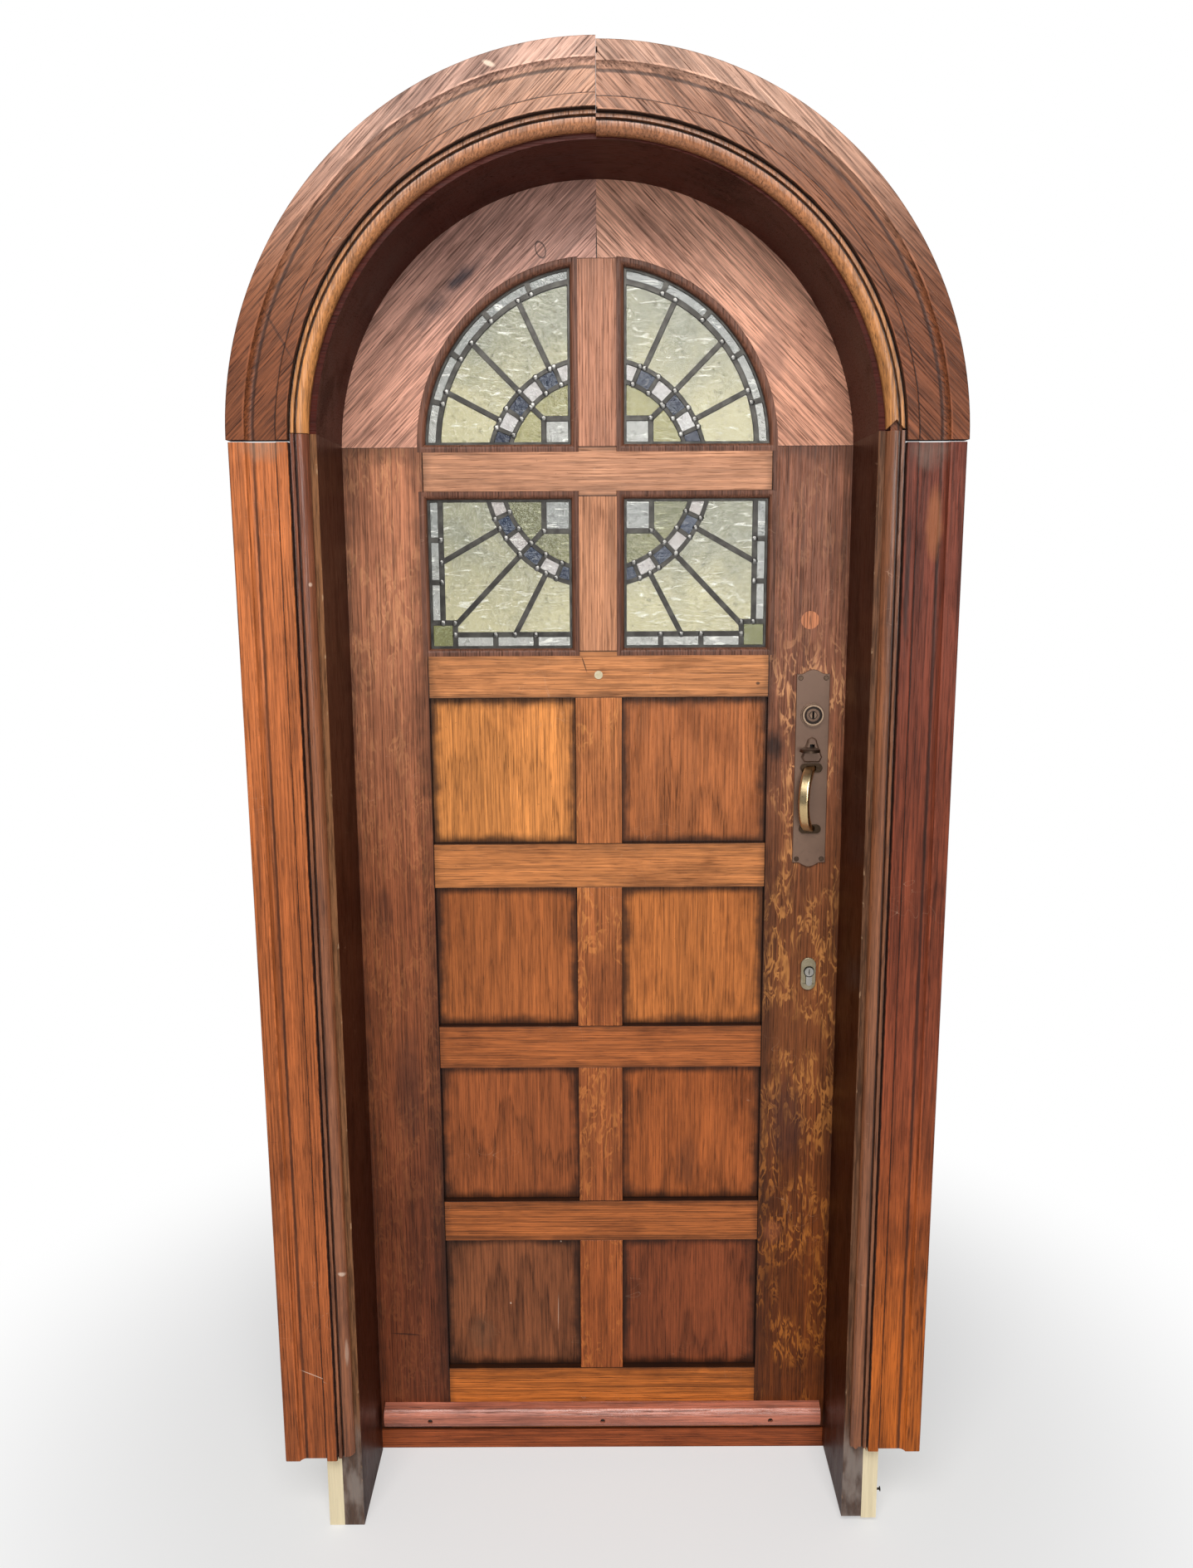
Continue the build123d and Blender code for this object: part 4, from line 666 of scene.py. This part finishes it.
# the right-hand panel's colour against the left one's, seed, and strength of the growth rings
PANEL_GRAIN = {
    "top_panels": ((0.62, 0.52, 0.60), 14.0, 0.35),
    "upper_middle_panels": ((1.25, 1.35, 1.25), 15.0, 0.40),
    "lower_middle_panels": ((1.15, 1.12, 0.95), 16.0, 0.55),
    "bottom_panels": ((1.0, 0.77, 0.66), 17.0, 0.60),
}
STAIN = dict(soft=1.0, ragged=1.3)
CROWN_JOINT = mark(0.0, 2055.0, 2.2, 90.0, BLACK, share=0.95, soft=0.4)
MARKS = {
    "hinge_stile": [
        mark(-348.0, 232.0, 70.0, 5.0, BLACK, share=0.6, turn=-4.0),
        mark(-330.0, 700.0, 60.0, 260.0, (0.05, 0.018, 0.012), share=0.45),
        mark(-360.0, 1010.0, 40.0, 120.0, (0.06, 0.02, 0.012), share=0.35),
    ],
    "lock_stile": [
        mark(288.0, 1291.0, 40.0, 66.0, BLACK, share=0.75, ragged=1.0, soft=0.8),
        mark(320.0, 640.0, 80.0, 200.0, (0.045, 0.016, 0.014), share=0.5),
        mark(300.0, 430.0, 40.0, 60.0, (0.34, 0.10, 0.04), share=0.4),
    ],
    "left_head": [
        mark(-85.2, 2058.5, 17.0, 30.0, BLACK, share=0.95, turn=20.0, soft=0.2, ragged=0.25, hollow=0.85),
        mark(-205.0, 2020.0, 34.0, 110.0, (0.030, 0.025, 0.034), share=0.9, turn=-48.0, **STAIN),
        mark(-246.0, 1978.0, 44.0, 120.0, (0.06, 0.042, 0.044), share=0.65, turn=-48.0, **STAIN),
        CROWN_JOINT,
    ],
    "right_head": [
        CROWN_JOINT,
        mark(270.0, 1900.0, 60.0, 110.0, (0.10, 0.045, 0.04), share=0.35),
    ],
    "viewer_rail": [
        mark(-23.0, 1428.0, 2.6, 34.0, BLACK, share=0.85, turn=18.0),
        mark(258.0, 1396.0, 9.0, 7.0, BLACK, share=0.8),
    ],
    "low_rail": [mark(-150.0, 452.0, 60.0, 5.0, BLACK, share=0.3)],
    "lower_middle_panels": [mark(150.0, 560.0, 50.0, 120.0, (0.06, 0.02, 0.01), share=0.35, y=189.0)],
    "bottom_panels": [
        mark(-132.5, 430.5, 3.0, 5.0, PALE_SCUFF, y=189.0),
        mark(-71.6, 405.0, 3.0, 4.0, PALE_SCUFF, y=189.0),
        mark(-162.7, 284.9, 3.5, 5.0, PALE_SCUFF, y=189.0),
        mark(-77.6, 266.0, 1.8, 90.0, PALE_SCUFF, share=0.45, turn=-1.0, y=189.0),
        mark(-215.0, 225.0, 60.0, 90.0, (0.10, 0.055, 0.03), share=0.35, y=189.0),
    ],
    "weather_bar": [
        mark(-110.8, 104.0, 34.0, 3.0, BLACK, share=0.7, y=160.0),
        mark(120.0, 106.0, 26.0, 2.5, BLACK, share=0.6, y=160.0),
        mark(-290.0, 98.0, 40.0, 2.5, PALE_SCUFF, share=0.5, y=160.0),
    ],
    "wood_plug": [mark(PLUG[0], PLUG[1], 1.8, 20.0, BLACK, share=0.7, soft=0.4)],
    "left_architrave": [
        mark(-468.0, 296.0, 2.2, 54.0, PALE_SCUFF, share=0.7, turn=66.0, y=-21.0),
        mark(-472.0, 1752.0, 80.0, 60.0, (0.24, 0.17, 0.12), share=0.5, soft=1.0, ragged=1.2, y=-21.0),
        mark(-507.0, 1180.0, 8.0, 260.0, (0.12, 0.04, 0.02), share=0.4, y=-28.0),
    ],
    "right_architrave": [
        mark(468.0, 1742.0, 80.0, 70.0, (0.17, 0.12, 0.095), share=0.55, soft=1.0, ragged=1.2, y=-21.0),
        mark(478.0, 1640.0, 30.0, 130.0, (0.34, 0.12, 0.045), share=0.55, y=-21.0),
        mark(441.0, 1560.0, 10.0, 260.0, (0.03, 0.02, 0.018), share=0.6, y=-21.0),
    ],
    "left_arch_architrave": [
        mark(-142.5, 2243.0, 22.0, 9.0, (0.80, 0.62, 0.48), share=0.85, turn=-20.0, y=-28.0),
        mark(-440.0, 1900.0, 5.0, 120.0, BLACK, share=0.5, turn=30.0, y=-21.0),
        mark(0.0, 2215.0, 2.0, 110.0, BLACK, share=0.9, y=-28.0),
    ],
    "left_cove": [
        mark(-415.0, 1560.0, 6.0, 8.0, PALE_SCUFF, share=0.6, y=-15.0),
        mark(-416.0, 470.0, 9.0, 16.0, PALE_SCUFF, share=0.7, turn=60.0, y=-15.0),
        mark(-414.0, 330.0, 7.0, 60.0, PALE_SCUFF, share=0.35, y=-15.0),
    ],
    "left_arch_cove": [mark(-244.0, 2081.0, 2.2, 34.0, BLACK, share=0.9, turn=-42.0, y=-15.0)],
}


def dress_board(node_name, called=None, **finish):
    """Gives a member its tones from TONES and its stains and scratches from MARKS."""
    name = (called or node_name) + "_oak"
    dress(node_name, timber(name, TONES[node_name], spots=MARKS.get(node_name, ()), **finish))


def finish_leaf():
    dress_board("hinge_stile", span=(0.3, 1.6), contrast=(0.26, 1.8), seed=1.0, ring=0.35, ray=0.2,
                box=front_box("hinge_stile"), grime=0.55, grime_wide=0.03)
    dress_board("lock_stile", span=(0.3, 1.6), contrast=(0.30, 2.0), seed=2.0, ring=0.30,
                ray=(1.0, 0.12, 1.36, 1.50), box=front_box("lock_stile"), grime=0.45, grime_wide=0.03)
    dress_board("left_head", span=(1.77, 2.1), contrast=(0.34, 1.6), grain=45.0, seed=3.0, ring=0.3,
                fibre=0.7, pore=0.9, joint=None)
    dress_board("right_head", span=(1.77, 2.1), contrast=(0.36, 1.55), grain=-45.0, seed=4.0, ring=0.3,
                fibre=0.7, pore=0.9, joint=None)
    for name, (ring, contrast, seed) in RAIL_GRAIN.items():
        dress_board(name, contrast=contrast, grain=90.0, seed=seed, heart=(0.3, 0.04), ring=ring,
                    box=trimmed(name, STILE_IN), grime=0.4, grime_wide=0.014)
    for name, seed in (("upper_light_muntin", 11.0), ("lower_light_muntin", 12.0)):
        dress_board(name, seed=seed, box=front_box(name), contrast=(0.36, 1.5))
    dress_board("panel_muntins", called="panel_muntin", span=(0.2, 1.35), seed=13.0, ray=0.28,
                contrast=(0.32, 1.7))
    for name, (sides, seed, ring) in PANEL_GRAIN.items():
        dress_board(name, sides=sides, seed=seed, heart=(0.16, 0.05), slope=0.02, ring=ring, twin=True,
                    box=PANEL_BOX[name], grime=0.85, grime_wide=0.020, joint=0.0026)
    bead = timber("bead_oak", ((0.13, 0.052, 0.030),), seed=18.0)
    dress("upper_light_beads", bead)
    dress("lower_light_beads", bead)
    dress_board("weather_bar", grain=90.0, seed=19.0, rough=0.26, sheen=0.6, ring=0.25)
    dress_board("wood_plug", called="plug", contrast=(0.3, 1.3), seed=20.0, age=0.1)


JAMB_SHEEN = 0.12


def jamb_finish(name, tones, front, seed):
    """A jamb: smooth and dark inside, where its tones carry painted shade, front edge of another colour,
    chipped arris, bleached foot.
    """
    material = timber(name, tones, seed=seed, contrast=(0.5, 1.25), fibre=0.35, pore=0.35, ring=0.15,
                      rough=0.34, sheen=JAMB_SHEEN)
    tree = material.node_tree
    skin = next(n for n in tree.nodes if n.type == "BSDF_PRINCIPLED")
    place = next(n for n in tree.nodes if n.type == "TEX_COORD").outputs["Object"]
    below = skin.inputs["Base Color"].links[0].from_socket
    x, y, z = split(tree, place)

    def speckle(wide, long):
        return noise(tree, vector_calc(tree, "MULTIPLY", place, (wide, wide, long)), 1.0, 4.0, 0.7)

    face = step(tree, y, -FOOT_Y + 0.0006, -FOOT_Y + 0.0016, 1.0, 0.0)
    cloud = noise(tree, vector_calc(tree, "MULTIPLY", place, (30.0, 30.0, 11.0)), 1.0, 4.0, 0.6)
    dark_front = tinted(tree, front, 0.35)
    raw = blend_colours(tree, step(tree, speckle(320.0, 16.0), 0.36, 0.62), dark_front, front)
    foot = step(tree, z, 0.10, 0.24, 1.0, 0.0)
    bleached = blend_colours(tree, step(tree, cloud, 0.38, 0.66), (0.085, 0.062, 0.052), (0.30, 0.26, 0.235))
    raw = blend_colours(tree, times(tree, foot, 0.8), raw, bleached)
    colour = blend_colours(tree, times(tree, face, 0.95), below, raw)
    near = calc(tree, "SUBTRACT", calc(tree, "ABSOLUTE", x), 0.400)
    arris = times(tree, step(tree, near, 0.0012, 0.0030, 1.0, 0.0),
                  step(tree, y, -FOOT_Y + 0.002, -FOOT_Y + 0.0045, 1.0, 0.0))
    chips = times(tree, times(tree, arris, step(tree, speckle(60.0, 34.0), 0.58, 0.66)), 0.5)
    colour = blend_colours(tree, chips, colour, (0.45, 0.29, 0.17))
    inner = times(tree, times(tree, foot, step(tree, cloud, 0.45, 0.7)), 0.35)
    colour = blend_colours(tree, inner, colour, (0.16, 0.125, 0.10))
    tree.links.new(colour, skin.inputs["Base Color"])
    return material


LEFT_ARCH_Z, RIGHT_ARCH_Z = 1.756, 1.7515     # centres of the two half arches of the architrave


def finish_frame():
    dress("left_jamb", jamb_finish("left_jamb_oak", TONES["left_jamb"], (0.24, 0.105, 0.045), 21.0))
    dress("right_jamb", jamb_finish("right_jamb_oak", TONES["right_jamb"], (0.170, 0.075, 0.037), 22.0))
    # painted shade: the head jamb is darkened for the shade under the soffit
    head = timber("head_jamb_oak", ((0.044, 0.005, 0.0015),), seed=23.0, grain=90.0, fibre=0.3, ring=0.1,
                  sheen=JAMB_SHEEN)
    dress("left_head_jamb", head)
    dress("right_head_jamb", head)
    dress_board("threshold", grain=90.0, seed=24.0, ring=0.5)
    dress_board("left_architrave", span=(0.2, 1.6), contrast=(0.30, 1.7), seed=25.0, mould=LEFT_ARCH_Z)
    dress_board("right_architrave", span=(0.2, 1.6), contrast=(0.24, 1.9), seed=26.0, mould=RIGHT_ARCH_Z)
    arch = dict(span=(1.86, 2.28), pore=0.95, fibre=0.7, ring=0.3)
    # pale is a painted sheen on the outer band near the crown
    dress_board("left_arch_architrave", called="left_arch", grain=45.0, seed=27.0, contrast=(0.32, 1.7),
                mould=LEFT_ARCH_Z, pale=(0.47, 0.27, 0.20), **arch)
    dress_board("right_arch_architrave", called="right_arch", grain=-45.0, seed=28.0, contrast=(0.34, 1.6),
                mould=RIGHT_ARCH_Z, pale=(0.46, 0.26, 0.18), **arch)
    for name, seed in (
        ("left_cove", 29.0), ("right_cove", 31.0), ("left_arch_cove", 32.0), ("right_arch_cove", 33.0),
    ):
        centre = LEFT_ARCH_Z if "left" in name else RIGHT_ARCH_Z
        span = (1.3, 1.72) if "arch" not in name else (1.85, 2.15)
        dress_board(name, span=span, seed=seed, rough=0.30, sheen=0.45, mould=centre, ring=0.2)
    pine = timber("packing_pine", ((0.80, 0.69, 0.46),), contrast=(0.72, 1.12), seed=30.0, ring=0.3,
                  fibre=0.25, pore=0.0, rough=0.6, age=0.06)
    dress("left_packing", pine)
    dress("right_packing", pine)


# Glass, lead and metal

LOWER_LIGHT_SPAN = (1.46, 1.69)     # heights over which the lower and the upper lights darken
UPPER_LIGHT_SPAN = (1.78, 1.98)


def glass(name, tones, scale, fine, olive=False):
    """Hand-made glass: streaks, a seedy hammered face, and a tone that drifts up each light."""
    material, tree, skin, place = blank_material(name)
    x, y, z = split(tree, place)
    low = step(tree, z, *LOWER_LIGHT_SPAN)
    high = step(tree, z, *UPPER_LIGHT_SPAN)
    upper = step(tree, z, 1.73, 1.74)
    in_lower = times(tree, low, calc(tree, "SUBTRACT", 1.0, upper))
    rise = calc(tree, "ADD", in_lower, times(tree, high, upper))
    cloud = noise(tree, vector_calc(tree, "MULTIPLY", place, (1.0, 1.0, 0.7)), scale, 4.0, 0.62, 1.2)
    cloud = times(tree, calc(tree, "SUBTRACT", cloud, 0.5), 1.4)
    rise = calc(tree, "ADD", rise, cloud, clamp=True)
    colour = blend_colours(tree, rise, tones[0], tones[1])
    seed = noise(tree, place, 150.0, 3.0, 0.65)
    line = noise(tree, vector_calc(tree, "MULTIPLY", place, (26.0, 26.0, 110.0)), 1.0, 3.0, 0.6, 1.5)
    dark = times(tree, step(tree, seed, 0.56, 0.70), fine)
    colour = blend_colours(tree, dark, colour, (0.25, 0.25, 0.20), "MULTIPLY")
    pale = times(tree, step(tree, line, 0.56, 0.72), fine * 1.4)
    colour = blend_colours(tree, pale, colour, (0.92, 0.92, 0.84))
    if olive:
        # deeper olive inside the ring of the sunburst and in the corner squares of the lower lights
        reach = vector_calc(tree, "LENGTH", combine(tree, x, 0.0, calc(tree, "SUBTRACT", z, BURST_Z)))
        middle = step(tree, reach, 0.150, 0.158, 1.0, 0.0)
        side = step(tree, calc(tree, "ABSOLUTE", x), 0.2303, 0.2323)
        corner = times(tree, side, step(tree, z, 1.4933, 1.4953, 1.0, 0.0))
        colour = blend_colours(tree, middle, colour, (0.66, 0.66, 0.50), "MULTIPLY")
        colour = blend_colours(tree, corner, colour, (0.40, 0.43, 0.30), "MULTIPLY")
    tree.links.new(colour, skin.inputs["Base Color"])
    skin.inputs["Roughness"].default_value = 0.12
    skin.inputs["Transmission Weight"].default_value = 0.9
    skin.inputs["IOR"].default_value = 1.45
    raise_skin(tree, skin, calc(tree, "ADD", seed, line), 0.4, 0.002)
    return material


def metal(name, colour, worn, rough, metallic=1.0, dirt=(0.05, 0.04, 0.03), scale=25.0, bumpy=0.05, rings=(),
          sheen=0.5, slot=None, seat=None):
    """Aged metal. rings are bands about a point on the front (place, inner and outer radius, colour), slot
    the place of a key slot, and seat the depth at which the piece sits, darkened there by patina and painted
    shade."""
    material, tree, skin, place = blank_material(name)
    cloud = noise(tree, place, scale, 4.0, 0.6)
    fine = noise(tree, place, scale * 14.0, 3.0, 0.6)
    tone = blend_colours(tree, step(tree, cloud, 0.35, 0.7), colour, worn)
    tone = blend_colours(tree, times(tree, step(tree, fine, 0.55, 0.75), 0.5), tone, dirt)
    for centre, inner, outer, tint in rings:
        off = vector_calc(tree, "MULTIPLY", vector_calc(tree, "SUBTRACT", place, centre), (1.0, 0.0, 1.0))
        reach = vector_calc(tree, "LENGTH", off)
        inside = times(tree, step(tree, reach, inner - 0.0004, inner + 0.0004),
                       step(tree, reach, outer - 0.0004, outer + 0.0004, 1.0, 0.0))
        tone = blend_colours(tree, times(tree, inside, 0.92), tone, tint)
    x, y, z = split(tree, place)
    # painted shade: the key slot has no hole cut and is painted dark for the shade inside it
    if slot:
        side = step(tree, apart(tree, x, slot[0]), 0.0013, 0.0021, 1.0, 0.0)
        tall = step(tree, apart(tree, z, slot[2]), 0.0058, 0.0066, 1.0, 0.0)
        tone = blend_colours(tree, times(tree, side, tall), tone, (0.004, 0.003, 0.003))
    # patina and painted shade where the grip's feet sit on the plate
    if seat:
        seat_patina_and_shade = step(tree, y, seat - 0.010, seat - 0.005)
        tone = blend_colours(tree, seat_patina_and_shade, tone, (0.075, 0.048, 0.030))
    tree.links.new(tone, skin.inputs["Base Color"])
    skin.inputs["Metallic"].default_value = metallic
    skin.inputs["Specular IOR Level"].default_value = sheen
    tree.links.new(calc(tree, "MULTIPLY_ADD", cloud, 0.2, rough - 0.1), skin.inputs["Roughness"])
    raise_skin(tree, skin, fine, bumpy, 0.001)
    return material


def finish_lights():
    olive = glass("olive_glass", ((0.60, 0.56, 0.35), (0.34, 0.34, 0.25)), 11.0, 0.45, olive=True)
    dress("field_glass", olive)
    dress("border_glass", glass("grey_border_glass", ((0.50, 0.50, 0.46), (0.34, 0.35, 0.33)), 26.0, 0.6))
    dress("blue_glass", glass("navy_glass", ((0.012, 0.021, 0.048), (0.034, 0.052, 0.092)), 60.0, 0.12))
    dress("white_glass", glass("streaky_white_glass", ((0.62, 0.60, 0.58), (0.50, 0.46, 0.43)), 70.0, 0.6))
    lead = metal("weathered_lead", (0.036, 0.034, 0.031), (0.075, 0.071, 0.064), 0.36, 0.85,
                 (0.02, 0.019, 0.017), 60.0, 0.25)
    dress("upper_light_leads", lead)
    dress("lower_light_leads", lead)


def lead_meetings():
    """Where leads meet in the right-hand lights, on the front, as x and z in metres."""
    edge = STILE_IN + 0.0075           # the bottom of the rebate for the lights
    border = edge - 0.032
    foot, top = 1.4411, 1.7005
    low = foot + 0.034
    corner_x, corner_z = border - 0.0192, low + 0.0192
    spots = [(border, corner_z), (corner_x, low), (corner_x, foot), (corner_x, corner_z), (edge, corner_z)]
    for share in (0.454, 0.712):
        z = foot + share * (top - foot)
        spots += [(border, z), (edge, z)]
    for share in (0.281, 0.539):
        x = 0.03 + share * (edge - 0.03)
        spots += [(x, foot), (x, low)]
    for angle in (-29.3, -45.6, -62.3):
        spots.append(on_ray(angle, 0.651 * STILE_IN))
    spots.append((border, BURST_Z - border * math.tan(math.radians(29.3))))
    spots.append(((BURST_Z - low) / math.tan(math.radians(62.3)), low))
    spots += [(0.311 * STILE_IN, BURST_Z - 0.3345 * STILE_IN), on_ray(-46.3, 0.558 * STILE_IN)]
    for count in range(5):
        for share in (0.558, 0.651):
            spots.append(on_ray(-24.0 - 11.0 * count, share * STILE_IN))
    for angle in (66.1, 49.2, 32.2, 15.4):
        for radius in (border, edge):
            turn = math.radians(angle)
            spots.append((radius * math.cos(turn), HEAD_Z + radius * math.sin(turn)))
    for angle in (27.3, 45.0, 64.6):
        spots.append(on_ray(angle, 0.6255 * STILE_IN))
        spots.append(ray_end(angle, border))
    spots += [(0.3055 * STILE_IN, BURST_Z + 0.2945 * STILE_IN), on_ray(43.6, 0.520 * STILE_IN)]
    for count in range(5):
        for share in (0.520, 0.6255):
            spots.append(on_ray(23.0 + 11.0 * count, share * STILE_IN))
    return [(x, z) for x, z in spots if x > 0.036 and (z < 1.697 or z > 1.764)]


def on_ray(angle, reach):
    turn = math.radians(angle)
    return (reach * math.cos(turn), BURST_Z + reach * math.sin(turn))


def ray_end(angle, radius):
    """Where a ray of the sunburst meets the border lead of the upper light."""
    drop = HEAD_Z - BURST_Z
    half = drop * math.sin(math.radians(angle))
    return on_ray(angle, half + math.sqrt(half * half + radius * radius - drop * drop))


def solder_the_leads():
    """A flattened, uneven blob of solder over each meeting of two leads."""
    chance = random.Random(7)
    for light in ("upper_light_leads", "lower_light_leads"):
        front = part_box(light)[0][1]
        blobs = []
        for x, z in lead_meetings():
            if (z > 1.73) != (light == "upper_light_leads"):
                continue
            for side in (-1, 1):
                bpy.ops.object.select_all(action="DESELECT")
                place = (side * x, front + 0.0002, z)
                bpy.ops.mesh.primitive_uv_sphere_add(segments=14, ring_count=8, radius=0.0047, location=place)
                blob = bpy.context.object
                for point in blob.data.vertices:
                    point.co.y = point.co.y * 0.26
                    point.co.x *= chance.uniform(0.82, 1.18)
                    point.co.z *= chance.uniform(0.82, 1.18)
                blobs.append(blob)
        bpy.ops.object.select_all(action="DESELECT")
        for blob in blobs:
            blob.select_set(True)
        bpy.context.view_layer.objects.active = blobs[0]
        bpy.ops.object.join()
        joints = bpy.context.object
        bpy.ops.object.transform_apply(location=True, rotation=True, scale=True)
        bpy.ops.object.shade_smooth()
        joints.name = light.replace("leads", "solder")
        joints.data.materials.append(SOLDER)
        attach(joints, "leaf")


def drive_packing_screw():
    """The small black screw left standing out of the right batten, near its foot."""
    bpy.ops.object.select_all(action="DESELECT")
    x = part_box("right_packing")[1][0]
    place = (x + 0.0032, at(0.0, 14.0, 0.0)[1], 0.053)
    bpy.ops.mesh.primitive_cylinder_add(vertices=14, radius=0.0017, depth=0.0075, location=place,
                                        rotation=(0.0, math.radians(90.0), 0.0))
    screw = bpy.context.object
    screw.name = "packing_screw"
    bpy.ops.object.transform_apply(location=True, rotation=True, scale=True)
    far = max(point.co.x for point in screw.data.vertices)
    bpy.ops.object.mode_set(mode="EDIT")
    bpy.ops.mesh.select_all(action="DESELECT")
    bpy.ops.object.mode_set(mode="OBJECT")
    for face in screw.data.polygons:
        face.select = face.center.x > far - 0.0001
    bpy.ops.object.mode_set(mode="EDIT")
    bpy.ops.mesh.extrude_region_move(TRANSFORM_OT_translate={"value": (0.0012, 0.0, 0.0)})
    bpy.ops.transform.resize(value=(1.0, 2.3, 2.3), center_override=(far, place[1], place[2]))
    bpy.ops.mesh.extrude_region_move(TRANSFORM_OT_translate={"value": (0.0008, 0.0, 0.0)})
    bpy.ops.mesh.inset(thickness=0.0008, depth=0.0002)
    bpy.ops.object.mode_set(mode="OBJECT")
    screw.data.materials.append(metal("black_screw", (0.02, 0.019, 0.018), (0.05, 0.045, 0.04), 0.4))
    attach(screw, "frame")


CYLINDER = at(347.0, 0.0, 1344.7)      # axis of the rim cylinder
EURO_PLUG = at(352.5, 0.0, 909.0)      # axis of the euro cylinder's plug
RING_BLACK = (0.010, 0.008, 0.007)
# colour, colour where worn, roughness, how metallic, dirt, and scale of the blotches
METALS = {
    "brown_bronze": ((0.160, 0.093, 0.062), (0.200, 0.120, 0.081), 0.42, 0.45, (0.13, 0.08, 0.055), 9.0),
    "dark_bronze": ((0.075, 0.045, 0.030), (0.13, 0.085, 0.058), 0.34, 0.85, (0.02, 0.013, 0.01), 40.0),
    "ringed_bronze": ((0.14, 0.088, 0.062), (0.20, 0.13, 0.09), 0.34, 0.8, (0.05, 0.03, 0.02), 40.0),
    "keyhole_bronze": ((0.17, 0.11, 0.075), (0.24, 0.16, 0.11), 0.34, 0.8, (0.04, 0.03, 0.02), 60.0),
    "worn_brass": ((0.72, 0.52, 0.26), (0.92, 0.72, 0.42), 0.28, 1.0, (0.15, 0.10, 0.05), 18.0),
    "champagne_brass": ((0.34, 0.285, 0.18), (0.46, 0.40, 0.28), 0.34, 0.9, (0.12, 0.09, 0.05), 60.0),
    "plated_steel": ((0.42, 0.40, 0.36), (0.56, 0.54, 0.50), 0.28, 1.0, (0.2, 0.18, 0.15), 40.0),
    "dark_steel": ((0.035, 0.030, 0.027), (0.07, 0.06, 0.05), 0.45, 0.9, (0.02, 0.015, 0.012), 50.0),
}
METAL_DETAILS = {
    "brown_bronze": dict(sheen=0.6),
    "ringed_bronze": dict(rings=(
        # the second, pale ring is a painted highlight on the cylinder's rim
        (CYLINDER, 0.0105, 0.0142, RING_BLACK), (CYLINDER, 0.0148, 0.0165, (0.42, 0.30, 0.20)),
    )),
    "keyhole_bronze": dict(rings=((CYLINDER, 0.0055, 0.0072, RING_BLACK),), slot=CYLINDER),
    "worn_brass": dict(seat=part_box("pull_grip")[1][1]),
    "plated_steel": dict(rings=((EURO_PLUG, 0.0075, 0.0092, RING_BLACK),)),
}
METAL_NODES = {
    "brown_bronze": ("handle_plate", "inside_latch_plate"),
    "dark_bronze": ("thumbpiece", "plate_screws"),
    "ringed_bronze": ("rim_cylinder",),
    "keyhole_bronze": ("rim_cylinder_plug",),
    "worn_brass": ("pull_grip",),
    "champagne_brass": ("euro_escutcheons", "door_viewer"),
    "plated_steel": ("euro_cylinder", "euro_plug", "latch_bolt", "deadbolt", "lock_cases", "keep_plates"),
    "dark_steel": ("hinge_frame_flaps", "hinge_door_flaps", "weather_bar_screws"),
}


def finish_metal():
    for name, node_names in METAL_NODES.items():
        material = metal(name, *METALS[name], **METAL_DETAILS.get(name, {}))
        for node_name in node_names:
            dress(node_name, material)


def ease_edges(width, *node_names):
    """Takes the sharp corners off pieces whose arrises catch the light."""
    for name in node_names:
        piece = nodes[name]
        weld = piece.modifiers.new("joined_faces", "WELD")
        weld.merge_threshold = 0.00002
        round_off = piece.modifiers.new("eased_edges", "BEVEL")
        round_off.width = width
        round_off.segments = 2
        round_off.limit_method = "ANGLE"
        round_off.angle_limit = math.radians(38.0)
        round_off.harden_normals = True


make_camera()
make_light()
make_world()
make_floor()
finish_leaf()
finish_frame()
finish_lights()
finish_metal()
SOLDER = metal("solder", (0.12, 0.117, 0.11), (0.26, 0.255, 0.24), 0.26, 0.9, (0.07, 0.068, 0.06), 80.0, 0.2)
solder_the_leads()
drive_packing_screw()
ease_edges(0.0012, "lock_stile", "transom_rail", "lock_rail", "middle_rail",
           "low_rail", "bottom_rail", "upper_light_muntin", "lower_light_muntin", "panel_muntins")
ease_edges(0.0010, "upper_light_leads", "lower_light_leads", "handle_plate", "euro_escutcheons", "wood_plug")
